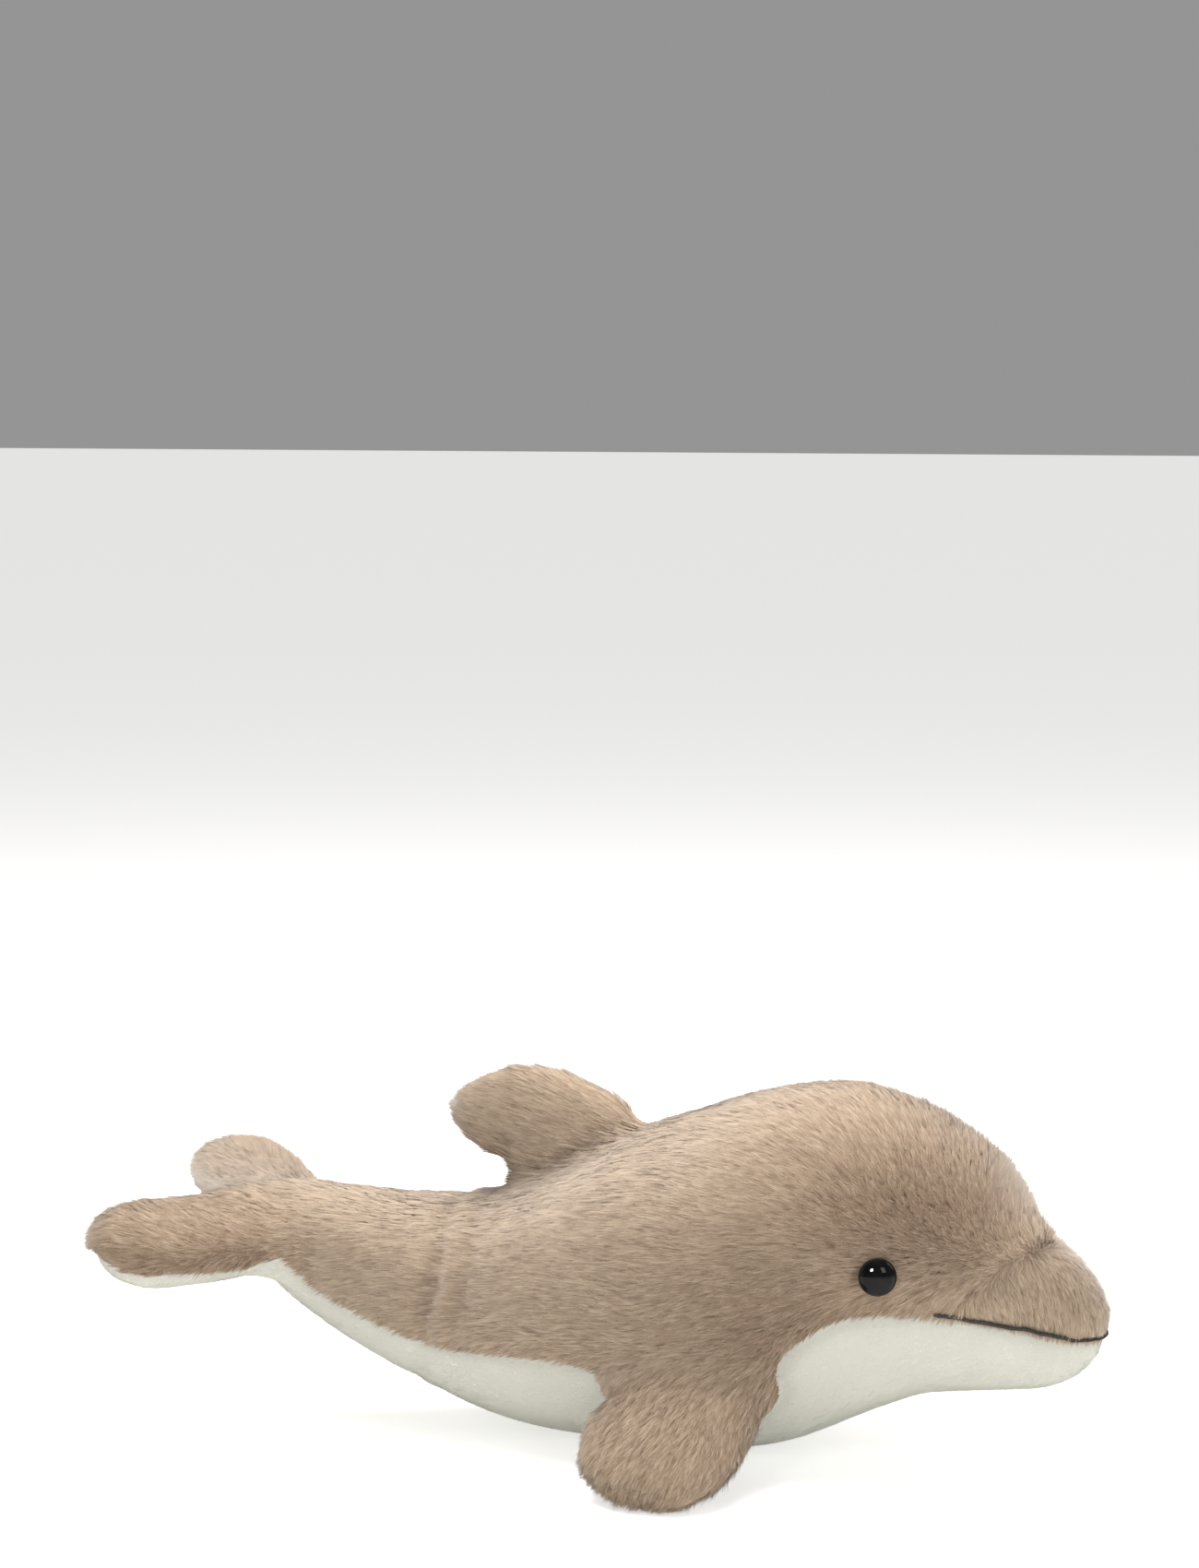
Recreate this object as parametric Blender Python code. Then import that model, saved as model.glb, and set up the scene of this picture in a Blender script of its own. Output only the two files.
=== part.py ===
"""A stuffed toy dolphin that lies on its belly with its head and tail raised.

The body is a bag of three sewn plush panels round a fibre filling: a tan panel on each side, joined
along the back, and a white panel under the jaw and belly. The dorsal fin, the two flippers and the
tail fluke are flat bags of two panels each, with a filling of their own, sewn onto the body. The eyes
are plastic domes whose posts pass through the plush into a washer, and the mouth is a line of thread.

+X is towards the beak, +Y is the dolphin's left, +Z is up, in metres. The origin is on the floor
under the middle of the overall length.
"""

import math
from collections import namedtuple

import bmesh
import bpy
from mathutils import Matrix, Vector

for old_object in list(bpy.data.objects):
    bpy.data.objects.remove(old_object)

# Clearances
FIT_GAP = 0.0003  # between two pieces that lie against each other
OVERCUT = 0.03  # how far a cutter runs past what it cuts

# Steps over which the direction straight out of the body is found
STEP_ALONG = 0.0005
STEP_ROUND = 0.02

# Plush and mesh
PLUSH_THICKNESS = 0.0045  # the backing cloth with its pile lying on it
POINTS_ROUND_BODY = 28
POINTS_ROUND_FIN = 16
RING_SPACING = 0.0140  # between the rings of points along a piece, at most
RINGS_PER_TIP = 3  # on a rounded end
WELD = 0.000001  # points closer than this are one point
SHARP_ANGLE = math.radians(50)  # faces that meet at less than this are shaded as one surface

# Body: how far behind the beak's tip each section lies, the heights of its back and its belly over
# the floor, and half its width. A belly below the floor is pressed flat against it.
Section = namedtuple("Section", "behind back belly half_width")
BODY_SECTIONS = (
    Section(0.0095, 0.0735, 0.0340, 0.0205),
    Section(0.0195, 0.0835, 0.0285, 0.0260),
    Section(0.0265, 0.0900, 0.0272, 0.0300),
    Section(0.0320, 0.0995, 0.0268, 0.0350),
    Section(0.0410, 0.1125, 0.0262, 0.0420),
    Section(0.0520, 0.1205, 0.0255, 0.0480),
    Section(0.0720, 0.1320, 0.0220, 0.0560),
    Section(0.0930, 0.1380, 0.0135, 0.0620),
    Section(0.1140, 0.1370, 0.0040, 0.0660),
    Section(0.1350, 0.1328, -0.0010, 0.0675),
    Section(0.1560, 0.1255, -0.0025, 0.0665),
    Section(0.1780, 0.1175, -0.0015, 0.0630),
    Section(0.2220, 0.0963, 0.0028, 0.0530),
    Section(0.2560, 0.0880, 0.0137, 0.0430),
    Section(0.3030, 0.0885, 0.0350, 0.0290),
    Section(0.3230, 0.0870, 0.0470, 0.0225),
)
STOCK_TIP = 0.0100  # length of the tail stock's rounded end, behind the last section
BODY_LENGTH = BODY_SECTIONS[-1].behind + STOCK_TIP
SECTION_FULLNESS = 2.15  # 2 is an ellipse, and more is squarer

# Seam between the tan and the white plush: how far behind the beak's tip, and its height
SeamPoint = namedtuple("SeamPoint", "behind height")
BELLY_SEAM = (
    SeamPoint(0.0040, 0.0489),
    SeamPoint(0.0210, 0.0531),
    SeamPoint(0.0410, 0.0600),
    SeamPoint(0.0610, 0.0645),
    SeamPoint(0.0820, 0.0645),
    SeamPoint(0.0980, 0.0590),
    SeamPoint(0.1073, 0.0518),
    SeamPoint(0.1140, 0.0445),
    SeamPoint(0.1210, 0.0385),
    SeamPoint(0.1410, 0.0360),
    SeamPoint(0.1660, 0.0385),
    SeamPoint(0.1960, 0.0405),
    SeamPoint(0.2474, 0.0405),
    SeamPoint(0.2765, 0.0475),
    SeamPoint(0.3017, 0.0565),
    SeamPoint(0.3220, 0.0620),
)

# Fins: points of the middle line, from the root to the tip, with half the chord and half the
# thickness there. The two numbers of a point are measured along the fin's own two directions.
FinSection = namedtuple("FinSection", "ahead out half_chord half_thickness")
Fin = namedtuple("Fin", "sections tip_length place two_ended")

# Dorsal fin: ahead is along the body and out is up, from the middle of its foot
DORSAL_FIN_BEHIND = 0.1990  # behind the beak's tip
DORSAL_FIN_SUNK = 0.0171  # its foot, under the line of the back
DORSAL_FIN_TIP = 0.0125  # length of its rounded tip
DORSAL_FIN_SECTIONS = (
    FinSection(0.0100, -0.0150, 0.0365, 0.0120),
    FinSection(-0.0010, 0.0120, 0.0310, 0.0120),
    FinSection(-0.0150, 0.0250, 0.0245, 0.0110),
    FinSection(-0.0285, 0.0305, 0.0200, 0.0100),
    FinSection(-0.0415, 0.0290, 0.0165, 0.0085),
)

# Flippers: ahead is along the body and out is away from it, down the flipper
FLIPPER_BEHIND = 0.1420  # behind the beak's tip, at the root
FLIPPER_OUT = 0.0420  # from the body's middle plane, at the root
FLIPPER_SLOPE = math.radians(27)  # how far the flipper points down
FLIPPER_TIP = 0.0090
FLIPPER_SECTIONS = (
    FinSection(0.0000, 0.0000, 0.0270, 0.0140),
    FinSection(-0.0005, 0.0200, 0.0290, 0.0140),
    FinSection(-0.0060, 0.0400, 0.0320, 0.0125),
    FinSection(-0.0090, 0.0560, 0.0305, 0.0110),
    FinSection(-0.0130, 0.0670, 0.0250, 0.0090),
)

# Tail fluke: ahead is along the body and out is sideways, from its middle to one tip
FLUKE_OVERLAP = 0.0085  # from its middle to the end of the tail stock inside it
FLUKE_RAISED = 0.0025  # over the middle of the stock
FLUKE_PITCH = math.radians(12)  # how far it points up, backwards
FLUKE_TIP = 0.0110
FLUKE_SECTIONS = (
    FinSection(0.0000, 0.0000, 0.0210, 0.0160),
    FinSection(-0.0060, 0.0200, 0.0260, 0.0165),
    FinSection(-0.0190, 0.0400, 0.0285, 0.0160),
    FinSection(-0.0330, 0.0550, 0.0265, 0.0150),
    FinSection(-0.0425, 0.0640, 0.0205, 0.0125),
)

# Eyes
EYE_BEHIND = 0.0761  # behind the beak's tip
EYE_HEIGHT = 0.0786
EYE_RADIUS = 0.0070
EYE_DOME_HEIGHT = 0.0055
EYE_RIM_HEIGHT = 0.0008
EYE_POST_RADIUS = 0.0020
EYE_POST_PAST_WASHER = 0.0015
WASHER_RADIUS = 0.0060
WASHER_THICKNESS = 0.0015
WASHER_SEAT = 0.0010  # room under the plush, which curves over the flat washer
POINTS_ROUND_EYE = 16
EYE_DOME_RINGS = 4

# Mouth
MOUTH_CORNER_BEHIND = 0.0560  # behind the beak's tip
THREAD_RADIUS = 0.0006
THREAD_POINTS_PER_SIDE = 14

# Colours, as linear red, green and blue
TAN = (0.440, 0.320, 0.218)
WHITE = (0.800, 0.790, 0.730)
FIBRE = (0.850, 0.850, 0.830)
BLACK = (0.006, 0.006, 0.007)
THREAD_BLACK = (0.012, 0.011, 0.011)
WASHER_WHITE = (0.700, 0.700, 0.680)


def smooth_value(places, values, place):
    """The value at a place on a smooth line through the values at the given places."""
    last = len(places) - 1
    k = 0
    while k < last - 1 and place > places[k + 1]:
        k += 1

    def slope(i):
        before, after = max(i - 1, 0), min(i + 1, last)
        return (values[after] - values[before]) / (places[after] - places[before])

    span = places[k + 1] - places[k]
    t = (place - places[k]) / span
    start = (1 + 2 * t) * (1 - t) ** 2 * values[k]
    leave = t * (1 - t) ** 2 * span * slope(k)
    arrive = t * t * (t - 1) * span * slope(k + 1)
    end = t * t * (3 - 2 * t) * values[k + 1]
    return start + leave + arrive + end


def smooth_places(places):
    """The given places, with evenly spaced ones between those further apart than RING_SPACING."""
    steps = []
    for near, far in zip(places, places[1:]):
        count = math.ceil((far - near) / RING_SPACING)
        steps += [near + (far - near) * step / count for step in range(count)]
    return [*steps, places[-1]]


def body_shape(behind):
    """The back, belly and half width at a distance behind the beak's tip, ends not rounded."""
    places = [section.behind for section in BODY_SECTIONS]
    held = min(max(behind, places[0]), places[-1])
    return [
        smooth_value(places, [getattr(section, size) for section in BODY_SECTIONS], held)
        for size in ("back", "belly", "half_width")
    ]


def end_rounding(behind):
    """From 0 at either tip of the body to 1 where its rounded end is over."""
    first, last = BODY_SECTIONS[0].behind, BODY_SECTIONS[-1].behind
    if behind < first:
        return math.sqrt(max(behind, 0.0) / first)
    if behind > last:
        return math.sqrt(max(BODY_LENGTH - behind, 0.0) / STOCK_TIP)
    return 1.0


def rounded_power(value):
    """A sine or cosine bent towards the squarer outline of a section."""
    return math.copysign(abs(value) ** (2 / SECTION_FULLNESS), value)


def body_point(behind, turn):
    """A point of the body's surface, with turn 0 on the back and positive turns to the left."""
    back, belly, half_width = body_shape(behind)
    rounding = end_rounding(behind)
    y = half_width * rounding * rounded_power(math.sin(turn))
    rise = (back - belly) / 2 * rounding * rounded_power(math.cos(turn))
    return Vector((NOSE_X - behind, y, (back + belly) / 2 + rise))


def body_normal(behind, turn):
    """The direction straight out of the body's surface at a point."""
    along = body_point(behind + STEP_ALONG, turn) - body_point(behind - STEP_ALONG, turn)
    around = body_point(behind, turn + STEP_ROUND) - body_point(behind, turn - STEP_ROUND)
    return around.cross(along).normalized()


def turn_at_height(behind, height):
    """The turn to the left at which the body's surface has a given height."""
    back, belly, _ = body_shape(behind)
    share = (height - (back + belly) / 2) / ((back - belly) / 2 * end_rounding(behind))
    share = min(max(share, -1.0), 1.0)
    return math.acos(math.copysign(abs(share) ** (SECTION_FULLNESS / 2), share))


def seam_height(behind):
    """The height of the seam between tan and white plush."""
    places = [point.behind for point in BELLY_SEAM]
    held = min(max(behind, places[0]), places[-1])
    return smooth_value(places, [point.height for point in BELLY_SEAM], held)


def face_outwards(shape):
    """Turns the faces of a closed shape outwards."""
    bmesh.ops.recalc_face_normals(shape, faces=shape.faces)
    if shape.calc_volume(signed=True) < 0:
        bmesh.ops.reverse_faces(shape, faces=shape.faces)


def skin(loops):
    """A closed skin over loops of points. A loop whose points all lie together becomes a tip."""
    shape = bmesh.new()
    rows = [[shape.verts.new(point) for point in loop] for loop in loops]
    for near, far in zip(rows, rows[1:]):
        for k in range(len(near)):
            shape.faces.new((near[k - 1], near[k], far[k], far[k - 1]))
    bmesh.ops.remove_doubles(shape, verts=shape.verts, dist=WELD)
    close_openings(shape)
    return shape


def close_openings(shape):
    """Puts one face on each opening of a shape, and turns its faces outwards."""
    rims = [edge for edge in shape.edges if edge.is_boundary]
    if rims:
        bmesh.ops.holes_fill(shape, edges=rims)
    face_outwards(shape)


def flatten_below(shape, height):
    """Cuts a closed shape off at a height over the floor, and closes it with one flat face."""
    whole = shape.verts[:] + shape.edges[:] + shape.faces[:]
    level = Vector((0, 0, height))
    up = Vector((0, 0, 1))
    bmesh.ops.bisect_plane(shape, geom=whole, plane_co=level, plane_no=up, clear_inner=True)
    close_openings(shape)


def make_object(name, shape, material=None):
    """An object from a bmesh. With no material it is a cutter, which isn't part of the toy."""
    mesh = bpy.data.meshes.new(name)
    shape.to_mesh(mesh)
    shape.free()
    piece = bpy.data.objects.new(name, mesh)
    bpy.context.scene.collection.objects.link(piece)
    if material:
        mesh.materials.append(material)
        mesh.shade_smooth()
        mesh.set_sharp_from_angle(angle=SHARP_ANGLE)
    else:
        piece.hide_render = True
        piece.display_type = "WIRE"
    return piece


def boolean(piece, cutter, operation="DIFFERENCE"):
    """Cuts a piece with a cutter, or keeps what lies inside it with INTERSECT."""
    step = piece.modifiers.new(cutter.name, "BOOLEAN")
    step.operation = operation
    step.object = cutter


def make_material(name, colour, roughness):
    """A plain finish for one kind of piece."""
    material = bpy.data.materials.new(name)
    material.use_nodes = True
    shader = material.node_tree.nodes["Principled BSDF"]
    shader.inputs["Base Color"].default_value = (*colour, 1.0)
    shader.inputs["Roughness"].default_value = roughness
    shader.inputs["Metallic"].default_value = 0.0
    return material


def body_skin(grown):
    """The body's closed outer skin, made larger by grown or smaller if it is negative."""
    first = BODY_SECTIONS[0].behind
    nose = [first * (step / RINGS_PER_TIP) ** 2 for step in range(RINGS_PER_TIP)]
    trunk = smooth_places([section.behind for section in BODY_SECTIONS])
    stock_end = [
        BODY_LENGTH - STOCK_TIP * (step / RINGS_PER_TIP) ** 2
        for step in reversed(range(RINGS_PER_TIP))
    ]
    turns = [2 * math.pi * k / POINTS_ROUND_BODY for k in range(POINTS_ROUND_BODY)]
    behinds = [*nose, *trunk, *stock_end]
    shape = skin([[body_point(behind, turn) for turn in turns] for behind in behinds])
    shape.normal_update()
    for vertex, outwards in [(vertex, vertex.normal.copy()) for vertex in shape.verts]:
        vertex.co += grown * outwards
    flatten_below(shape, -grown)
    return shape


def prism(outline, low_y, high_y):
    """A block with an outline of (x, z) points, between two distances to the left."""
    shape = bmesh.new()
    face = shape.faces.new([shape.verts.new((x, low_y, z)) for x, z in outline])
    grown = bmesh.ops.extrude_face_region(shape, geom=[face])
    moved = [item for item in grown["geom"] if isinstance(item, bmesh.types.BMVert)]
    bmesh.ops.translate(shape, verts=moved, vec=(0, high_y - low_y, 0))
    face_outwards(shape)
    return shape


def seam_line(offset):
    """The belly seam as (x, z) points from past the beak to past the tail, moved upwards by offset
    at right angles to itself."""
    behinds = smooth_places([point.behind for point in BELLY_SEAM])
    line = [Vector((NOSE_X - behind, seam_height(behind))) for behind in behinds]
    line.insert(0, line[0] + Vector((OVERCUT, 0)))
    line.append(line[-1] - Vector((OVERCUT + BODY_LENGTH - behinds[-1], 0)))
    moved = []
    for k, point in enumerate(line):
        along = line[min(k + 1, len(line) - 1)] - line[max(k - 1, 0)]
        across = Vector((along.y, -along.x)).normalized()
        moved.append(point + offset * across)
    return moved


def plush_region(name, high, low_y, high_y):
    """The block above the seam, or below it, that holds one panel of the body's plush."""
    line = seam_line(FIT_GAP / 2 if high else -FIT_GAP / 2)
    tallest = max(section.back for section in BODY_SECTIONS)
    edge = tallest + OVERCUT if high else -OVERCUT
    corners = [(line[-1].x, edge), (line[0].x, edge)]
    outline = [tuple(point) for point in line] + corners
    return make_object(name, prism(outline, low_y, high_y))


def fin_line(fin, grown):
    """The sections of a fin from end to end with its rounded tips, made larger by grown."""
    lengths = [0.0]
    for near, far in zip(fin.sections, fin.sections[1:]):
        lengths.append(lengths[-1] + math.hypot(far.ahead - near.ahead, far.out - near.out))
    line = []
    for length in smooth_places(lengths):
        ahead, out, half_chord, half_thickness = (
            smooth_value(lengths, [section[k] for section in fin.sections], length)
            for k in range(len(FinSection._fields))
        )
        line.append(FinSection(ahead, out, half_chord + grown, half_thickness + grown))
    end, before = line[-1], line[-2]
    direction = Vector((end.ahead - before.ahead, end.out - before.out)).normalized()
    for step in reversed(range(RINGS_PER_TIP)):
        rounding = step / RINGS_PER_TIP
        reach = (fin.tip_length + grown) * (1 - rounding**2)
        ahead, out = end.ahead + direction.x * reach, end.out + direction.y * reach
        sizes = end.half_chord * rounding, end.half_thickness * rounding
        line.append(FinSection(ahead, out, *sizes))
    if fin.two_ended:
        mirrored = [section._replace(out=-section.out) for section in reversed(line[1:])]
        line = mirrored + line
    return line


def fin_loops(fin, angles, grown, lift=0.0):
    """Loops of points across a fin at the given angles round its middle line, lifted off its flat.
    The angle is 0 on the leading edge and a quarter turn over the flat."""
    line = fin_line(fin, grown)
    loops = []
    for k, here in enumerate(line):
        near, far = line[max(k - 1, 0)], line[min(k + 1, len(line) - 1)]
        along = Vector((far.ahead - near.ahead, far.out - near.out)).normalized()
        loop = []
        for angle in angles:
            across = here.half_chord * math.cos(angle)
            thick = here.half_thickness * math.sin(angle) + lift
            spot = Vector((here.ahead + along.y * across, here.out - along.x * across, thick))
            loop.append(fin.place @ spot)
        loops.append(loop)
    return loops


def make_fin(name, fin, upper, lower):
    """Two panels and a filling of a flat bag that is sewn on where it meets the body. Upper and
    lower hold the name and the material of the panel over the flat, and of the one under it."""
    steps = POINTS_ROUND_FIN // 2
    for side, (panel_name, material) in ((1, upper), (-1, lower)):
        angles = [side * math.pi * k / steps for k in range(steps + 1)]
        lift = side * FIT_GAP / 2
        outside = fin_loops(fin, angles, 0.0, lift)
        inside = fin_loops(fin, angles[::-1], -PLUSH_THICKNESS, lift)
        panel_shape = skin([outer + inner for outer, inner in zip(outside, inside)])
        boolean(make_object(panel_name, panel_shape, material), body_cutter)
    angles = [math.pi * k / steps for k in range(POINTS_ROUND_FIN)]
    filling_shape = skin(fin_loops(fin, angles, -PLUSH_THICKNESS - FIT_GAP))
    boolean(make_object(name + "_filling", filling_shape, fibre_finish), body_cutter)


def circle(radius, height):
    """A ring of points round +Z."""
    angles = [2 * math.pi * k / POINTS_ROUND_EYE for k in range(POINTS_ROUND_EYE)]
    return [Vector((radius * math.cos(a), radius * math.sin(a), height)) for a in angles]


def make_washer(name):
    """A flat ring whose top is at height 0."""
    hole = EYE_POST_RADIUS + FIT_GAP
    corners = ((hole, 0.0), (WASHER_RADIUS, 0.0), (WASHER_RADIUS, -WASHER_THICKNESS))
    loops = [circle(*corner) for corner in corners]
    return make_object(name, skin([*loops, circle(hole, -WASHER_THICKNESS), loops[0]]), washer_finish)


def make_eye(name):
    """A domed eye with its post, whose back is at height 0."""
    loops = [circle(EYE_POST_RADIUS, -EYE_POST_LENGTH), circle(EYE_POST_RADIUS, 0.0)]
    loops.append(circle(EYE_RADIUS, 0.0))
    for step in range(EYE_DOME_RINGS + 1):
        angle = math.pi / 2 * step / EYE_DOME_RINGS
        height = EYE_RIM_HEIGHT + (EYE_DOME_HEIGHT - EYE_RIM_HEIGHT) * math.sin(angle)
        loops.append(circle(EYE_RADIUS * math.cos(angle), height))
    return make_object(name, skin(loops), eye_finish)


def cylinder(name, radius, low, high):
    """A round cutter along +Z."""
    return make_object(name, skin([circle(radius, low), circle(radius, high)]))


# Finishes
tan_finish = make_material("tan_plush", TAN, 0.95)
white_finish = make_material("white_plush", WHITE, 0.95)
fibre_finish = make_material("fibre_filling", FIBRE, 1.0)
eye_finish = make_material("black_eye", BLACK, 0.08)
washer_finish = make_material("washer_plastic", WASHER_WHITE, 0.4)
thread_finish = make_material("black_thread", THREAD_BLACK, 0.7)

# Overall length, which ends at the furthest point of the fluke's rim
fluke_behind = BODY_LENGTH - FLUKE_OVERLAP
fluke_tilt = Matrix.Rotation(FLUKE_PITCH, 4, "Y")
fluke = Fin(FLUKE_SECTIONS, FLUKE_TIP, fluke_tilt, True)
fluke_rim = [point for loop in fin_loops(fluke, (0, math.pi), 0.0) for point in loop]
NOSE_X = (fluke_behind - min(point.x for point in fluke_rim)) / 2

# Body panels round their filling
body_hollow = make_object("body_hollow", body_skin(-PLUSH_THICKNESS))
body_cutter = make_object("body_cutter", body_skin(FIT_GAP))
body_filling = make_object("body_filling", body_skin(-PLUSH_THICKNESS - FIT_GAP), fibre_finish)
widest = max(section.half_width for section in BODY_SECTIONS)
side_panels = {}
for side_name, side in (("left", 1), ("right", -1)):
    side_panel = make_object(f"side_panel_{side_name}", body_skin(0.0), tan_finish)
    boolean(side_panel, body_hollow)
    reach = sorted((side * FIT_GAP / 2, side * (widest + OVERCUT)))
    region = plush_region(f"side_panel_{side_name}_region", True, *reach)
    boolean(side_panel, region, "INTERSECT")
    side_panels[side_name] = side_panel
belly_panel = make_object("belly_panel", body_skin(0.0), white_finish)
boolean(belly_panel, body_hollow)
belly_region = plush_region("belly_panel_region", False, -widest - OVERCUT, widest + OVERCUT)
boolean(belly_panel, belly_region, "INTERSECT")

# Dorsal fin, whose flat is the body's middle plane
back_at_fin, _, _ = body_shape(DORSAL_FIN_BEHIND)
dorsal_place = Matrix(
    (
        (1, 0, 0, NOSE_X - DORSAL_FIN_BEHIND),
        (0, 0, 1, 0),
        (0, 1, 0, back_at_fin - DORSAL_FIN_SUNK),
        (0, 0, 0, 1),
    )
)
make_fin(
    "dorsal_fin",
    Fin(DORSAL_FIN_SECTIONS, DORSAL_FIN_TIP, dorsal_place, False),
    ("dorsal_fin_panel_left", tan_finish),
    ("dorsal_fin_panel_right", tan_finish),
)

# Flippers, lowered until they rest on the floor
for side_name, side in (("left", 1), ("right", -1)):
    out = Vector((0, side * math.cos(FLIPPER_SLOPE), -math.sin(FLIPPER_SLOPE)))
    over = Vector((0, side * math.sin(FLIPPER_SLOPE), math.cos(FLIPPER_SLOPE)))
    flipper_place = Matrix(
        (
            (1, 0, 0, NOSE_X - FLIPPER_BEHIND),
            (0, out.y, over.y, side * FLIPPER_OUT),
            (0, out.z, over.z, 0),
            (0, 0, 0, 1),
        )
    )
    flipper = Fin(FLIPPER_SECTIONS, FLIPPER_TIP, flipper_place, False)
    all_round = [2 * math.pi * k / POINTS_ROUND_FIN for k in range(POINTS_ROUND_FIN)]
    flipper_loops = fin_loops(flipper, all_round, 0.0)
    lowest = min(point.z for loop in flipper_loops for point in loop)
    lowered = Matrix.Translation((0, 0, FIT_GAP / 2 - lowest)) @ flipper_place
    make_fin(
        f"flipper_{side_name}",
        flipper._replace(place=lowered),
        (f"flipper_{side_name}_upper_panel", tan_finish),
        (f"flipper_{side_name}_lower_panel", tan_finish),
    )

# Tail fluke, whose flat rises backwards
stock_back, stock_belly, _ = body_shape(fluke_behind)
fluke_height = (stock_back + stock_belly) / 2 + FLUKE_RAISED
fluke_place = Matrix.Translation((NOSE_X - fluke_behind, 0, fluke_height)) @ fluke_tilt
make_fin(
    "fluke",
    fluke._replace(place=fluke_place),
    ("fluke_top_panel", tan_finish),
    ("fluke_underside_panel", white_finish),
)

# Eyes, whose posts pass through the plush into a washer in a pocket of the filling
WASHER_DEPTH = PLUSH_THICKNESS + WASHER_SEAT
EYE_POST_LENGTH = FIT_GAP + WASHER_DEPTH + WASHER_THICKNESS + EYE_POST_PAST_WASHER
for side_name, side in (("left", 1), ("right", -1)):
    eye_turn = side * turn_at_height(EYE_BEHIND, EYE_HEIGHT)
    facing = body_normal(EYE_BEHIND, eye_turn).to_track_quat("Z", "Y").to_matrix().to_4x4()
    eye_place = Matrix.Translation(body_point(EYE_BEHIND, eye_turn)) @ facing
    eye = make_eye(f"eye_{side_name}")
    eye.matrix_world = eye_place @ Matrix.Translation((0, 0, FIT_GAP))
    washer = make_washer(f"eye_washer_{side_name}")
    washer.matrix_world = eye_place @ Matrix.Translation((0, 0, -WASHER_DEPTH))
    post_reach = EYE_POST_LENGTH + FIT_GAP
    post_hole = cylinder(f"post_hole_{side_name}", EYE_POST_RADIUS + FIT_GAP, -post_reach, OVERCUT)
    post_hole.matrix_world = eye_place
    boolean(side_panels[side_name], post_hole)
    pocket = cylinder(f"washer_pocket_{side_name}", WASHER_RADIUS + FIT_GAP, -post_reach, OVERCUT)
    pocket.matrix_world = eye_place
    boolean(body_filling, pocket)

# Mouth thread, from one corner round the beak to the other, on the seam
thread_lift = THREAD_RADIUS + FIT_GAP
beak_back, beak_belly, _ = body_shape(0.0)
seam_below_middle = (beak_back + beak_belly) / 2 - seam_height(0.0)
mouth_front = BODY_SECTIONS[0].behind * (seam_below_middle / ((beak_back - beak_belly) / 2)) ** 2
side_route = []
for step in range(THREAD_POINTS_PER_SIDE + 1):
    share = math.sin(math.pi / 2 * step / THREAD_POINTS_PER_SIDE)
    behind = MOUTH_CORNER_BEHIND + (mouth_front - MOUTH_CORNER_BEHIND) * share
    turn = turn_at_height(behind, seam_height(behind))
    side_route.append(body_point(behind, turn) + thread_lift * body_normal(behind, turn))
side_route[-1].y = 0.0
route = side_route + [Vector((p.x, -p.y, p.z)) for p in reversed(side_route[:-1])]
thread_curve = bpy.data.curves.new("mouth_stitching", "CURVE")
thread_curve.dimensions = "3D"
thread_curve.bevel_depth = THREAD_RADIUS
thread_curve.bevel_resolution = 2
thread_curve.use_fill_caps = True
thread_curve.materials.append(thread_finish)
thread_line = thread_curve.splines.new("POLY")
thread_line.points.add(len(route) - 1)
for knot, spot in zip(thread_line.points, route):
    knot.co = (*spot, 1.0)
thread = bpy.data.objects.new("mouth_stitching", thread_curve)
bpy.context.scene.collection.objects.link(thread)
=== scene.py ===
"""The looks of a stuffed toy dolphin: sewn plush panels with their pile, domed eyes and a stitched mouth."""
import math

import bmesh
import bpy
import numpy as np
from mathutils import Matrix, Vector
from mathutils.bvhtree import BVHTree
from mathutils.kdtree import KDTree


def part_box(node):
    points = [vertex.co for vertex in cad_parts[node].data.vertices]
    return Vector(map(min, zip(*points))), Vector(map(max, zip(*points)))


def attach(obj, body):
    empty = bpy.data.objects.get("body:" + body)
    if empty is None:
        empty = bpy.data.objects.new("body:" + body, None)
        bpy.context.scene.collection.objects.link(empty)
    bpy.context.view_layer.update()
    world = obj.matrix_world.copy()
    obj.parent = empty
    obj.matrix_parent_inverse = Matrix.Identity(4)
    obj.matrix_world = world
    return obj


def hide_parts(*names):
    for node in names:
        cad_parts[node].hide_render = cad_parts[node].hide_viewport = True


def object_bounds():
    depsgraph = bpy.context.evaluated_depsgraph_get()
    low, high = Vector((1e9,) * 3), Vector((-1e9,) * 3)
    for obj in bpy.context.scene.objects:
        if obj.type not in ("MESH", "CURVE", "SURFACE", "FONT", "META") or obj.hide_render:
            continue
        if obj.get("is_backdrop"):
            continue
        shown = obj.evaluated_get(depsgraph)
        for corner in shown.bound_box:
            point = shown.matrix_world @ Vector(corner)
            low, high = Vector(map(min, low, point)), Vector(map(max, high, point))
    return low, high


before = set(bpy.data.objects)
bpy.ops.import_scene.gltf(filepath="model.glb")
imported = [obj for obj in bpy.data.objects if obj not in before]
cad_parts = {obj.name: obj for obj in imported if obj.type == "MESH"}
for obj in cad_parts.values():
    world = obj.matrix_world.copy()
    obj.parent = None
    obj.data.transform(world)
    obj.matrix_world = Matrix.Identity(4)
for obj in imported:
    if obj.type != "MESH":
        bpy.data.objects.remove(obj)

cad_low, cad_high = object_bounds()

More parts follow.
